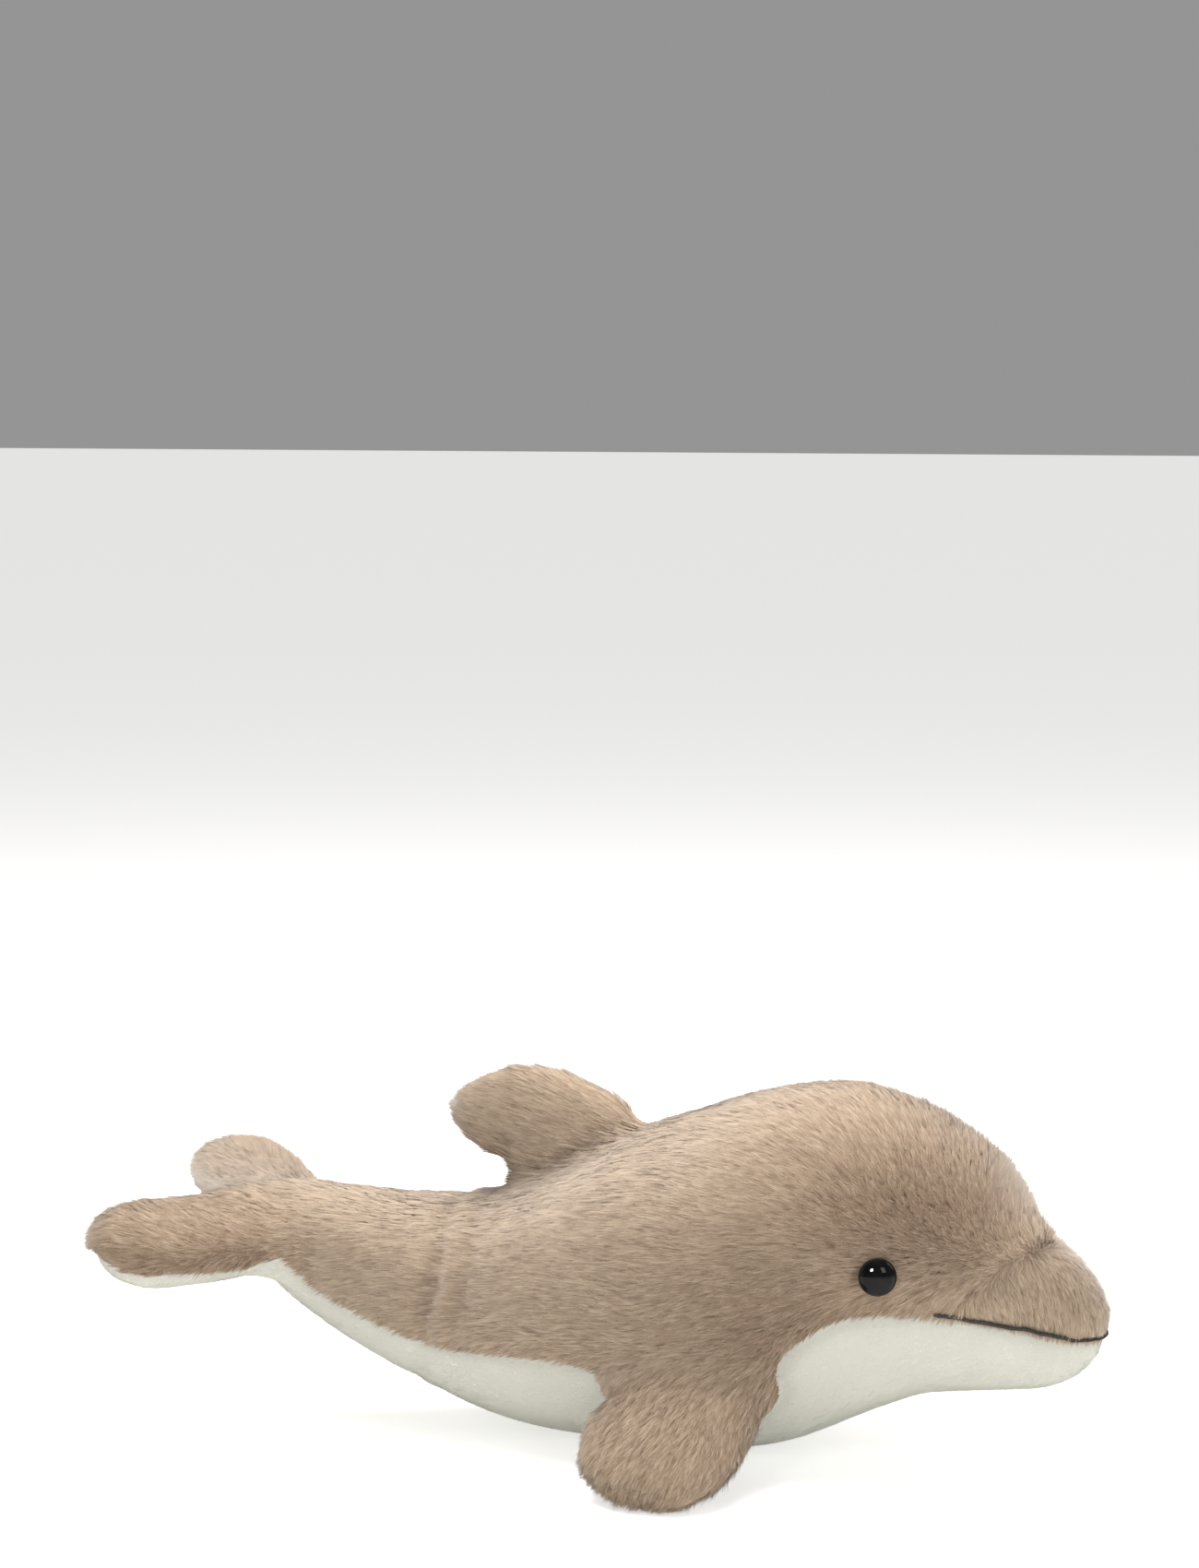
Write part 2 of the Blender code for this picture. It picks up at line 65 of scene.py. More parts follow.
# Camera
# It stands level with the toy's right side, a little ahead of the middle and above it, and looks
# over the toy, so that the toy lies in the lower part of a tall picture.
PHOTO_WIDTH = 1300
PHOTO_HEIGHT = 1700
VIEW_AZIMUTH = math.radians(15.25)  # round the toy, from its right side towards its beak
VIEW_ELEVATION = math.radians(12.75)
VIEW_DISTANCE = 1.6
PIXELS_PER_METRE = 2835  # across the middle of the toy
MIDDLE_HEIGHT = 0.0557  # the point on the toy's upright axis that lies at the pixel below
MIDDLE_PIXEL = (665, 1394.5)
SENSOR_WIDTH = 36

focal_pixels = PIXELS_PER_METRE * VIEW_DISTANCE


def view_direction(azimuth, elevation):
    """The way that a camera at this place round the toy looks."""
    return Vector(
        (
            -math.sin(azimuth) * math.cos(elevation),
            math.cos(azimuth) * math.cos(elevation),
            -math.sin(elevation),
        )
    )


camera_data = bpy.data.cameras.new("camera")
camera_data.sensor_width = SENSOR_WIDTH
camera_data.lens = focal_pixels / PHOTO_HEIGHT * SENSOR_WIDTH
camera = bpy.data.objects.new("camera", camera_data)
bpy.context.scene.collection.objects.link(camera)
turned_aside = math.atan((MIDDLE_PIXEL[0] - PHOTO_WIDTH / 2) / focal_pixels)
turned_up = math.atan((MIDDLE_PIXEL[1] - PHOTO_HEIGHT / 2) / focal_pixels)
looks_along = view_direction(VIEW_AZIMUTH + turned_aside, VIEW_ELEVATION - turned_up)
camera.location = (
    Vector((0, 0, MIDDLE_HEIGHT)) - VIEW_DISTANCE * view_direction(VIEW_AZIMUTH, VIEW_ELEVATION)
)
camera.rotation_mode = "QUATERNION"
camera.rotation_quaternion = looks_along.to_track_quat("-Z", "Y")
bpy.context.scene.camera = camera

# Studio
# A white sweep, lit from all round by white walls, from above and behind by soft boxes that leave a
# light edge on the plush, and from the front by a lamp and a window that show in the eye.
FLOOR_SIZE = 30.0
FLOOR_WHITE = (0.75, 0.75, 0.745, 1.0)
FLOOR_GLOW = 0.41  # the sweep is lit through from below, as on a light table
FLOOR_GLOW_SEEN = 0.75  # and the picture is exposed until its shadows are pale
WALL_WHITE = (1.0, 1.0, 1.0, 1.0)
WALL_STRENGTH = 0.30
WALL_STRENGTH_IN_GLOSS = 0.10  # black cloths hang where a polished eye would show the walls
SOFT_BOXES = (
    # name, place, width, height, watts, colour
    ("overhead_box", (-0.15, 0.20, 1.30), 1.10, 1.10, 35.5, (1.0, 0.97, 0.93)),
    ("back_box", (0.90, 0.70, 0.80), 0.70, 0.70, 4.2, (1.0, 0.97, 0.93)),
    ("eye_light", (-0.10, -1.26, 0.77), 0.26, 0.26, 60.0, (1.0, 0.98, 0.95)),
    ("right_window", (0.95, -0.85, 0.70), 0.40, 0.55, 4.0, (0.97, 0.98, 1.0)),
)

bpy.context.scene.view_settings.view_transform = "Standard"
walls = bpy.data.worlds.new("walls")
walls.use_nodes = True
wall_light = walls.node_tree.nodes["Background"]
wall_light.inputs["Color"].default_value = WALL_WHITE
bpy.context.scene.world = walls


def strength_by_ray(tree, kind_of_ray, usual, for_these_rays, socket):
    """Gives a light one strength for one kind of ray and its usual strength for the others."""
    ray = tree.nodes.new("ShaderNodeLightPath")
    strength = tree.nodes.new("ShaderNodeMapRange")
    strength.inputs["To Min"].default_value = usual
    strength.inputs["To Max"].default_value = for_these_rays
    tree.links.new(ray.outputs[kind_of_ray], strength.inputs["Value"])
    tree.links.new(strength.outputs["Result"], socket)


wall_glow = wall_light.inputs["Strength"]
strength_by_ray(walls.node_tree, "Is Glossy Ray", WALL_STRENGTH, WALL_STRENGTH_IN_GLOSS, wall_glow)

for name, place, width, height, watts, colour in SOFT_BOXES:
    lamp_data = bpy.data.lights.new(name, "AREA")
    lamp_data.shape = "RECTANGLE"
    lamp_data.size = width
    lamp_data.size_y = height
    lamp_data.energy = watts
    lamp_data.color = colour
    lamp = bpy.data.objects.new(name, lamp_data)
    lamp.location = place
    towards_toy = Vector((0, 0, MIDDLE_HEIGHT)) - Vector(place)
    lamp.rotation_euler = towards_toy.to_track_quat("-Z", "Y").to_euler()
    lamp.visible_glossy = name != "overhead_box"
    lamp.visible_diffuse = name != "eye_light"  # it is only there to be mirrored in the eye
    bpy.context.scene.collection.objects.link(lamp)


def make_material(name, roughness):
    """A material with its shader, and a function that adds nodes to it."""
    material = bpy.data.materials.new(name)
    material.use_nodes = True
    nodes = material.node_tree.nodes
    links = material.node_tree.links
    shader = nodes["Principled BSDF"]
    shader.inputs["Roughness"].default_value = roughness

    def add(kind, inputs=(), **settings):
        node = nodes.new(kind)
        for setting, value in settings.items():
            setattr(node, setting, value)
        for socket, value in dict(inputs).items():
            if isinstance(value, bpy.types.NodeSocket):
                links.new(value, node.inputs[socket])
            else:
                node.inputs[socket].default_value = value
        return node

    return material, shader, add, links


def colour_ramp(add, factor, stops):
    """A colour ramp through (place, colour) stops, and its colour socket."""
    node = add("ShaderNodeValToRGB", {"Fac": factor})
    ramp = node.color_ramp
    while len(ramp.elements) < len(stops):
        ramp.elements.new(0.5)
    for element, (place, colour) in zip(ramp.elements, stops):
        element.position = place
        element.color = (*colour, 1.0)
    return node.outputs["Color"]


def add_object(name, mesh, material=None):
    """A mesh as an object of the scene, at the origin."""
    piece = bpy.data.objects.new(name, mesh)
    bpy.context.scene.collection.objects.link(piece)
    if material:
        mesh.materials.append(material)
    return piece


def finish_shape(name, shape, material=None):
    """A bmesh as an object of the scene."""
    mesh = bpy.data.meshes.new(name)
    shape.to_mesh(mesh)
    shape.free()
    return add_object(name, mesh, material)


floor_shape = bmesh.new()
bmesh.ops.create_grid(floor_shape, x_segments=1, y_segments=1, size=FLOOR_SIZE / 2)
floor_finish, floor_shader, _, _ = make_material("white_sweep", 0.9)
floor_shader.inputs["Base Color"].default_value = FLOOR_WHITE
floor_shader.inputs["Emission Color"].default_value = FLOOR_WHITE
floor_glow = floor_shader.inputs["Emission Strength"]
strength_by_ray(floor_finish.node_tree, "Is Camera Ray", FLOOR_GLOW, FLOOR_GLOW_SEEN, floor_glow)
finish_shape("floor", floor_shape, floor_finish)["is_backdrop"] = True

# Stuffed shape
# The toy is a bag of plush panels that the filling holds out. The backing cloth is one smooth skin
# that lies under the pile, drawn in along its seams and creased where the stuffed tail is bent.
WELD = 0.000001
HULL_VOXEL = 0.002
SKIN_VOXEL = 0.004
SKIN_DEPTH = 0.0035  # under the plush's outer surface, before the pile's own height is known
SKIN_SMOOTHING = 8
SKIN_SETTLING = 3
SOFT_NODES = [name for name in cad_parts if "panel" in name or "filling" in name]
PANEL_NODES = [name for name in SOFT_NODES if "panel" in name]


def merged_copy(names):
    """The closed meshes of CAD nodes as one bmesh, with their loose triangles merged."""
    shape = bmesh.new()
    for name in names:
        shape.from_mesh(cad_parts[name].data)
    bmesh.ops.remove_doubles(shape, verts=shape.verts, dist=WELD)
    return shape


def apply_modifiers(piece):
    """Makes what a piece's modifiers show its mesh."""
    shown = piece.evaluated_get(bpy.context.evaluated_depsgraph_get())
    piece.data = bpy.data.meshes.new_from_object(shown)
    piece.modifiers.clear()


def keep_largest_island(mesh):
    """Deletes all but the largest connected part of a mesh."""
    shape = bmesh.new()
    shape.from_mesh(mesh)
    unseen = set(shape.verts)
    islands = []
    while unseen:
        island = [unseen.pop()]
        for vertex in island:
            for edge in vertex.link_edges:
                other = edge.other_vert(vertex)
                if other in unseen:
                    unseen.remove(other)
                    island.append(other)
        islands.append(island)
    islands.sort(key=len)
    for island in islands[:-1]:
        bmesh.ops.delete(shape, geom=island, context="VERTS")
    shape.to_mesh(mesh)
    shape.free()


def remeshed(name, nodes, voxel):
    """The outer surface of some CAD nodes together, in even quads."""
    piece = finish_shape(name, merged_copy(nodes))
    remesh = piece.modifiers.new("remesh", "REMESH")
    remesh.mode = "VOXEL"
    remesh.voxel_size = voxel
    apply_modifiers(piece)
    keep_largest_island(piece.data)
    return piece


def mesh_points(mesh):
    """The vertices of a mesh as rows of an array."""
    points = np.empty(len(mesh.vertices) * 3)
    mesh.vertices.foreach_get("co", points)
    return points.reshape(-1, 3)


def mesh_normals(mesh):
    """The vertex normals of a mesh as rows of an array."""
    normals = np.empty(len(mesh.vertices) * 3, np.float32)
    mesh.vertex_normals.foreach_get("vector", normals)
    return normals.reshape(-1, 3).astype(float)


def set_points(mesh, points):
    """Moves the vertices of a mesh to the rows of an array."""
    mesh.vertices.foreach_set("co", points.astype(np.float32).ravel())
    mesh.update()


hull = remeshed("hull", SOFT_NODES, HULL_VOXEL)
skin = remeshed("skin", SOFT_NODES, SKIN_VOXEL)
smoothing = skin.modifiers.new("smoothing", "SMOOTH")
smoothing.iterations = SKIN_SMOOTHING
wrapping = skin.modifiers.new("wrapping", "SHRINKWRAP")
wrapping.target = hull
wrapping.wrap_method = "NEAREST_SURFACEPOINT"
wrapping.wrap_mode = "INSIDE"
wrapping.offset = SKIN_DEPTH
settling = skin.modifiers.new("settling", "SMOOTH")
settling.iterations = SKIN_SETTLING
apply_modifiers(skin)

# How the fluke has settled. Its places are measured back from the beak's tip, as the creases' are.
nose_x = cad_high.x
FLUKE_TWIST = math.radians(3.5)  # the stuffed fluke has turned a little, its right lobe down
FLUKE_AXIS_HEIGHT = 0.088
FLUKE_BEGINS = 0.318
FLUKE_TURNED = 0.353  # behind this it has its whole turn
FLUKE_MIDDLE = 0.338
FLUKE_CROWN = 0.0040  # the filling of the stock pushes up the middle of the fluke
RIGHT_LOBE_SWEPT = 0.0110  # how far the front edges of the lobes are drawn back beside the stock
LEFT_LOBE_SWEPT = 0.0040


def eased(low, high, values):
    """From 0 at low to 1 at high, with soft ends."""
    share = np.clip((values - low) / (high - low), 0, 1)
    return share * share * (3 - 2 * share)


def ridge(width, values):
    """A soft bump of height 1 round value 0."""
    return np.exp(-((values / width) ** 2))


def settled(points):
    """The stuffed shape's points after the fluke has turned and its middle is pushed up."""
    behind = nose_x - points[:, 0]
    turn = FLUKE_TWIST * eased(FLUKE_BEGINS, FLUKE_TURNED, behind)
    across, height = points[:, 1], points[:, 2] - FLUKE_AXIS_HEIGHT
    moved = points.copy()
    moved[:, 1] = across * np.cos(turn) - height * np.sin(turn)
    moved[:, 2] = FLUKE_AXIS_HEIGHT + across * np.sin(turn) + height * np.cos(turn)
    moved[:, 2] += FLUKE_CROWN * ridge(0.024, across) * ridge(0.030, behind - FLUKE_MIDDLE)
    at_front_edge = eased(0.298, 0.322, behind) * eased(0.372, 0.330, behind)
    swept = np.where(across < 0, RIGHT_LOBE_SWEPT, LEFT_LOBE_SWEPT)
    moved[:, 0] -= swept * eased(0.016, 0.034, np.abs(across)) * at_front_edge
    return moved


# Blown-out panels
# The filling is blown in until the panels stand out between their seams. The seams hold still, as
# two layers of cloth and their thread don't stretch.
FILLING_PRESSURE = 4.0
BLOWN_FRAMES = 20
CLOTH_STIFFNESS = 40
CLOTH_BENDING = 4
MOST_BLOWN = 0.0018
SEAM_HOLD = 0.0035
NEAR_ZERO = 1e-12


def distances(nodes, places):
    """How far each place is from the nearest of some CAD nodes."""
    shape = merged_copy(nodes)
    tree = BVHTree.FromBMesh(shape)
    shape.free()
    return np.array([tree.find_nearest(place)[3] for place in places])


cloth_points = mesh_points(skin.data)
nearest_two = np.sort(np.stack([distances([name], cloth_points) for name in PANEL_NODES], 1))[:, :2]
at_seam = np.nonzero(nearest_two[:, 1] - nearest_two[:, 0] < SEAM_HOLD)[0]
held = skin.vertex_groups.new(name="held")
held.add(at_seam.tolist(), 1.0, "REPLACE")
blowing = skin.modifiers.new("blowing", "CLOTH")
blowing.settings.vertex_group_mass = "held"
blowing.settings.use_pressure = True
blowing.settings.uniform_pressure_force = FILLING_PRESSURE
blowing.settings.effector_weights.gravity = 0
blowing.settings.tension_stiffness = CLOTH_STIFFNESS
blowing.settings.compression_stiffness = CLOTH_STIFFNESS
blowing.settings.bending_stiffness = CLOTH_BENDING
blowing.point_cache.frame_start = 1
blowing.point_cache.frame_end = BLOWN_FRAMES
for moment in range(1, BLOWN_FRAMES + 1):
    bpy.context.scene.frame_set(moment)
apply_modifiers(skin)
skin.vertex_groups.clear()
bpy.context.scene.frame_set(1)
blown = mesh_points(skin.data) - cloth_points
blown_far = np.maximum(np.linalg.norm(blown, axis=1, keepdims=True), NEAR_ZERO)
set_points(skin.data, cloth_points + blown * np.minimum(1, MOST_BLOWN / blown_far))
rounding = skin.modifiers.new("rounding", "SUBSURF")
rounding.levels = 1
rounding.render_levels = 1
apply_modifiers(skin)

# Where the seams run
# Each place on the skin belongs to the panel that it lies nearest, and a seam lies where two panels
# are equally near. In some places the panels are cut a little longer, and their seam lies farther on.
TAN_OVER_FLUKE_EDGE = 0.0035
TAN_ROUND_FLIPPER_ROOT = 0.0036
WHITE_UNDER_TAIL = 0.0022
SEAM_EVENING = 24

skin_points = mesh_points(skin.data)
panel_distances = {name: distances([name], skin_points) for name in PANEL_NODES}
every_distance = np.stack([panel_distances[name] for name in PANEL_NODES], 1)
white_panels = [name for name in PANEL_NODES if name in ("belly_panel", "fluke_underside_panel")]
tan_panels = [name for name in PANEL_NODES if name not in white_panels]


def least_distance(names):
    """How far each point of the skin is from the nearest of some panels."""
    return np.min([panel_distances[name] for name in names], axis=0)


def panels_of(*words):
    """The panels whose names begin with one of these words."""
    return [name for name in PANEL_NODES if name.startswith(words)]


body_distance = least_distance(panels_of("side", "belly"))
# How far each point lies on the tan side of the white plush, and inside each fin
on_tan = least_distance(white_panels) - least_distance(tan_panels)
in_dorsal = body_distance - least_distance(panels_of("dorsal"))
in_fluke = body_distance - least_distance(panels_of("fluke"))
in_flippers = body_distance - least_distance(panels_of("flipper"))
# The tan top of the fluke is wrapped a little way round its edge, and the tan of the body runs on
# unbroken into the flippers
on_tan += TAN_OVER_FLUKE_EDGE * eased(-0.004, 0.006, in_fluke)
on_tan += TAN_ROUND_FLIPPER_ROOT * eased(-0.010, 0.0, in_flippers)
# Under the tail the white of the belly runs on into the white of the fluke
under_tail = eased(0.078, 0.066, skin_points[:, 2])
on_tan -= WHITE_UNDER_TAIL * ridge(0.010, in_fluke) * under_tail

skin_corners = np.empty(len(skin.data.loops), np.int32)
skin.data.loops.foreach_get("vertex_index", skin_corners)
skin_quads = skin_corners.reshape(-1, 4)
skin_edges = np.concatenate([skin_quads[:, [k, (k + 1) % 4]] for k in range(4)])


def evened(values, share, times):
    """Values at the skin's points after each has moved, again and again, towards its neighbours' mean."""
    neighbours = np.bincount(skin_edges[:, 0], minlength=len(values))[:, None]
    for _ in range(times):
        columns = [np.bincount(skin_edges[:, 0], column[skin_edges[:, 1]]) for column in values.T]
        values = values + share * (np.stack(columns, 1) / neighbours - values) / 2
    return values


# The seam is evened all along, and most of all round the flippers' roots
round_flippers = 0.15 + 0.85 * ridge(0.016, in_flippers + 0.002)[:, None]
on_tan = evened(on_tan[:, None], round_flippers, SEAM_EVENING)[:, 0]

# Creases
# The stuffed tail is bent upwards, which folds its plush over into soft rings, and the melon bulges
# over the beak. Seams and fin roots are drawn in by their thread, and the filling of the body runs on
# into the flippers.
SEAM_DRAWN = 0.0008
SEAM_WIDTH = 0.0030
FLIPPER_ROOT_WIDTH = 0.0100
FLIPPER_ROOT_ROUNDING = 40
DORSAL_ROOT_WIDTH = 0.0060
DORSAL_ROOT_ROUNDING = 25
TAIL_RINGS = (
    # behind the beak's tip, drawn in by (a minus pushes out), width
    (0.2446, 0.0020, 0.0060),
    (0.2382, -0.0010, 0.0045),
    (0.2318, 0.0009, 0.0050),
    (0.2970, 0.0007, 0.0060),
)
RING_BOW = 8.5
RING_HEIGHT = 0.068  # where a ring reaches farthest forwards
BEAK_FOLD_DRAWN = 0.0005
BEAK_FOLD_WIDTH = 0.0085
BRIDGE_DRAWN = 0.0010
BRIDGE_WIDTH = 0.0070
BRIDGE_BEFORE_FOLD = 0.005

at_flipper_root = 0.9 * ridge(FLIPPER_ROOT_WIDTH, in_flippers + 0.002)[:, None]
skin_points = evened(skin_points, at_flipper_root, FLIPPER_ROOT_ROUNDING)
at_dorsal_root = np.maximum(ridge(DORSAL_ROOT_WIDTH, in_dorsal), 0.4 * (in_dorsal > 0))[:, None]
skin_points = evened(skin_points, at_dorsal_root, DORSAL_ROOT_ROUNDING)
skin_points = settled(skin_points)
set_points(skin.data, skin_points)
lying_upwards = mesh_normals(skin.data)[:, 2]


def tail_ring(behind, depth, width):
    """How far a ring fold round the tail stock draws each point in. It curves back above and below."""
    bowed = behind + RING_BOW * (skin_points[:, 2] - RING_HEIGHT) ** 2
    place = nose_x - skin_points[:, 0] - bowed
    on_body = eased(0.002, -0.002, in_dorsal) * eased(0.002, -0.002, in_fluke)
    on_side = (0.3 + 0.7 * eased(-0.004, 0.006, on_tan)) * (1 - 0.5 * eased(0.4, 1.0, lying_upwards))
    return depth * ridge(width, place) * on_body * on_side


def before_fold(places):
    """How far each place lies in front of the fold between melon and beak."""
    fold = 0.0200 + 0.35 * np.abs(places[:, 1]) + 0.85 * np.maximum(0, 0.0845 - places[:, 2])
    return fold - (nose_x - places[:, 0])


drawn_in = SEAM_DRAWN * ridge(SEAM_WIDTH, on_tan)
for inside_fin, depth, width in ((in_dorsal, 0.0014, 0.0045), (in_fluke, 0.0005, 0.0080)):
    drawn_in += depth * ridge(width, inside_fin)
for behind, depth, width in TAIL_RINGS:
    drawn_in += tail_ring(behind, depth, width)
above_mouth = eased(0.062, 0.074, skin_points[:, 2])
beside_beak = 0.2 + 0.8 * eased(0.008, 0.030, np.abs(skin_points[:, 1]))
beak_fold = ridge(BEAK_FOLD_WIDTH, before_fold(skin_points))
drawn_in += BEAK_FOLD_DRAWN * beak_fold * above_mouth * beside_beak
at_bridge = ridge(BRIDGE_WIDTH, before_fold(skin_points) - BRIDGE_BEFORE_FOLD)
drawn_in += BRIDGE_DRAWN * at_bridge * (1 - beside_beak)
skin_points -= drawn_in[:, None] * mesh_normals(skin.data)
set_points(skin.data, skin_points)
skin_normals = mesh_normals(skin.data)

# How the pile lies
# The plush was brushed away from the corner of the mouth: up over the melon, back along the body,
# and along each fin towards its tip. On the beak it lies down over the mouth. Above the beak and on
# the cheek it stands on end, so that one looks down into its roots, where shade is painted darker.
STRAND_LENGTH = 0.0088
BEAK_STRAND_LENGTH = 0.0056
VELVET_HEIGHT = 0.0010
PARTING = Vector((0.160, 0.040, 0.0847))  # the corner of the mouth, on the left
MELON_SIDE = Vector((0.130, 0.045, 0.108))
CHEEK = Vector((0.083, 0.055, 0.062))
SEAM_DROOP = 0.5
FOLD_RAISED = 0.12  # how much less flat the pile lies along the fold above the beak
PILE_LAYERS = 0.0012


def unit(arrows):
    """Arrows made one metre long."""
    return arrows / np.maximum(np.linalg.norm(arrows, axis=-1, keepdims=True), NEAR_ZERO)


def side_of(places):
    """1 on the toy's left and -1 on its right."""
    return np.where(places[:, 1] < 0, -1.0, 1.0)


def from_middle(places, middle):
    """How far along and up each place lies from a place on the toy's side."""
    return places[:, 0] - middle.x, places[:, 2] - middle.z


def brushed(places, normals, on_tan, dorsal, fluke, flippers):
    """The way the pile is brushed at each place, along the skin, and how flat it lies: from 0 where
    it stands on end to 1. Along the white plush it droops a little over the seam."""
    side = side_of(places)
    zeros, ones = np.zeros_like(side), np.ones_like(side)
    along, up = from_middle(places, PARTING)
    away = np.hypot(along, up)
    from_parting = unit(np.stack((along - 0.012, zeros, up), 1))
    backwards = np.stack((-ones, zeros, zeros), 1)
    far = eased(0.06, 0.24, away)[:, None]
    way = unit((1 - far) * from_parting + far * backwards)
    along, up = from_middle(places, MELON_SIDE)
    on_melon = ridge(1.0, np.hypot((along + 0.4 * up) / 0.046, up / 0.026))
    along, up = from_middle(places, CHEEK)
    on_cheek = ridge(1.0, np.hypot(along / 0.030, up / 0.022))
    flatness = 0.90 + 0.12 * eased(0.2, 0.8, normals[:, 2])
    flatness = flatness - 0.78 * np.maximum(on_melon, 0.48 * on_cheek)
    # Down over the beak, and fanned a little towards its tip
    along_beak = (places[:, 0] - 0.155) / 0.035
    over_beak = unit(np.stack((0.50 - 0.75 * along_beak, 0.25 * side, -ones), 1))
    on_beak = eased(-0.0040, 0.0060, before_fold(places))
    way[:, 2] -= SEAM_DROOP * eased(0.008, 0.0, on_tan)
    way = (1 - on_beak)[:, None] * way + on_beak[:, None] * over_beak
    flatness = (1 - on_beak) * flatness + on_beak * 0.92
    near_top = eased(0.024, 0.010, places[:, 1] * side)
    flatness -= FOLD_RAISED * ridge(0.006, before_fold(places) - 0.001) * near_top
    across_flipper = (places[:, 0] - 0.055) / 0.035
    fins = (
        (dorsal, np.stack((-ones, zeros, 0.30 * ones), 1), 0.004, 0.95),
        (fluke, np.stack((-ones, 0.50 * side, 0.1 * ones), 1), 0.014, 0.84),
        (flippers, np.stack((0.22 * across_flipper - 0.12, 0.89 * side, -0.45 * ones), 1), 0.008, 0.86),
    )
    for inside_fin, fin_way, blend, fin_flatness in fins:
        share = eased(-blend, blend, inside_fin)
        way = (1 - share)[:, None] * way + share[:, None] * unit(fin_way)
        flatness = (1 - share) * flatness + share * fin_flatness
    way = way - np.sum(way * normals, axis=1, keepdims=True) * normals
    flatness *= eased(0.0, 0.45, np.linalg.norm(way, axis=1))
    return unit(way), flatness


def leans(flatness):
    """How far a strand leans over at its root and at its tip."""
    return np.radians(12 + 70 * flatness), np.radians(34 + 54 * flatness)


def pile_lift(flatness):
    """How thick the pile that lies flat grows, because each strand rests on those under it."""
    return PILE_LAYERS * eased(0.3, 0.9, flatness)


def strand_lengths(places, flatness, on_tan):
    """How long the pile is. It is shorter on the beak, where it stands up and beside the white."""
    on_beak = eased(-0.003, 0.006, before_fold(places))
    lengths = STRAND_LENGTH + (BEAK_STRAND_LENGTH - STRAND_LENGTH) * on_beak
    return lengths * (0.60 + 0.40 * flatness) * (0.62 + 0.38 * eased(0.0, 0.008, on_tan))


_, lying = brushed(skin_points, skin_normals, on_tan, in_dorsal, in_fluke, in_flippers)
root_lean, tip_lean = leans(lying)
pile_height = strand_lengths(skin_points, lying, on_tan) * (np.cos(root_lean) + np.cos(tip_lean)) / 2
pile_height += pile_lift(lying)
plush_height = VELVET_HEIGHT + (pile_height - VELVET_HEIGHT) * eased(-0.0060, 0.0010, on_tan)
clear_of_flippers = eased(0.002, -0.010, in_flippers)
raised = (SKIN_DEPTH - plush_height) * np.maximum(clear_of_flippers, eased(-0.0060, 0.0010, on_tan))
skin_points += raised[:, None] * skin_normals
set_points(skin.data, skin_points)
skin_normals = mesh_normals(skin.data)

# Backing cloth
# Each panel's backing is a knitted polyester cloth, cut from the skin where its panel lies. It
# shows a little between the locks of the pile.
CLOTH_THICKNESS = 0.0006
KNIT_SIZE = 900  # stitches in a metre
TAN_BACKING = (0.270, 0.190, 0.132)
TAN_BACKING_LIGHT = (0.340, 0.245, 0.175)
WHITE_BACKING = (0.580, 0.578, 0.505)
WHITE_BACKING_LIGHT = (0.640, 0.636, 0.565)


def cloth_finish(name, dark, light):
    """Knitted cloth, slightly mottled."""
    material, shader, add, links = make_material(name, 0.95)
    place = add("ShaderNodeTexCoord").outputs["Object"]
    mottle = add("ShaderNodeTexNoise", {"Vector": place, "Scale": 60.0, "Detail": 4.0})
    colour = colour_ramp(add, mottle.outputs["Fac"], ((0.3, dark), (0.7, light)))
    links.new(colour, shader.inputs["Base Color"])
    knit = add("ShaderNodeTexVoronoi", {"Vector": place, "Scale": KNIT_SIZE})
    bump = add("ShaderNodeBump", {"Height": knit.outputs["Distance"], "Distance": 0.0003})
    links.new(bump.outputs["Normal"], shader.inputs["Normal"])
    return material


tan_backing = cloth_finish("tan_backing", TAN_BACKING, TAN_BACKING_LIGHT)
white_backing = cloth_finish("white_backing", WHITE_BACKING, WHITE_BACKING_LIGHT)
quad_distances = every_distance[skin_quads].mean(axis=1)
is_white = np.array([panel in white_panels for panel in PANEL_NODES])
nearest_tan = np.argmin(np.where(is_white, math.inf, quad_distances), axis=1)
nearest_white = np.argmin(np.where(is_white, quad_distances, math.inf), axis=1)
quad_panel = np.where(on_tan[skin_quads].mean(axis=1) > 0, nearest_tan, nearest_white)

for number, panel in enumerate(PANEL_NODES):
    shape = bmesh.new()
    shape.from_mesh(skin.data)
    shape.faces.ensure_lookup_table()
    others = [shape.faces[k] for k in np.nonzero(quad_panel != number)[0]]
    bmesh.ops.delete(shape, geom=others, context="FACES")
    backing = white_backing if is_white[number] else tan_backing
    cloth = finish_shape(panel + "_cloth", shape, backing)
    cloth.data.shade_smooth()
    cloth.visible_shadow = "flipper" not in panel  # light reaches round their thin edges
    wall = cloth.modifiers.new("wall", "SOLIDIFY")
    wall.thickness = CLOTH_THICKNESS
    wall.offset = -1
    apply_modifiers(cloth)
    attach(cloth, "root")
    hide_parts(panel)

# Long tan pile
# Soft polyester pile, about 8 mm long, knitted into the backing. It lies in small pointed locks, and
# none grows where the eyes are set in.
STRANDS_PER_SQUARE_METRE = 5.6e6
LOCKS_PER_SQUARE_METRE = 0.55e6
STRANDS_PER_PIECE = 66000
LEAST_PIECES = 4  # of each panel's pile, because one of them casts the shadows
STRAND_WIDTH = 0.00031
FLOOR_CLEARANCE = 0.0003
TONE_COLUMNS = 24
RIBBON_TAPER = 0.15
RIBBON_ROLL = 0.5
TEXTURE_TOP = 0.98
TONE = 0.53
LOCK_TONE_SPREAD = 0.13
STRAND_TONE_SPREAD = 0.22
# Painted shade and light in the tan pile's tones: darker where it stands on end and on the fluke, lighter on
# the beak
DEEP_PILE_PAINTED_SHADE = 0.70
FLUKE_PAINTED_SHADE = 0.20
BEAK_PALE_TIPS_AND_PAINTED_LIGHT = 0.14
GATHERED = (0.0, 0.18, 0.55)  # how far a strand's root, middle and tip go to its lock
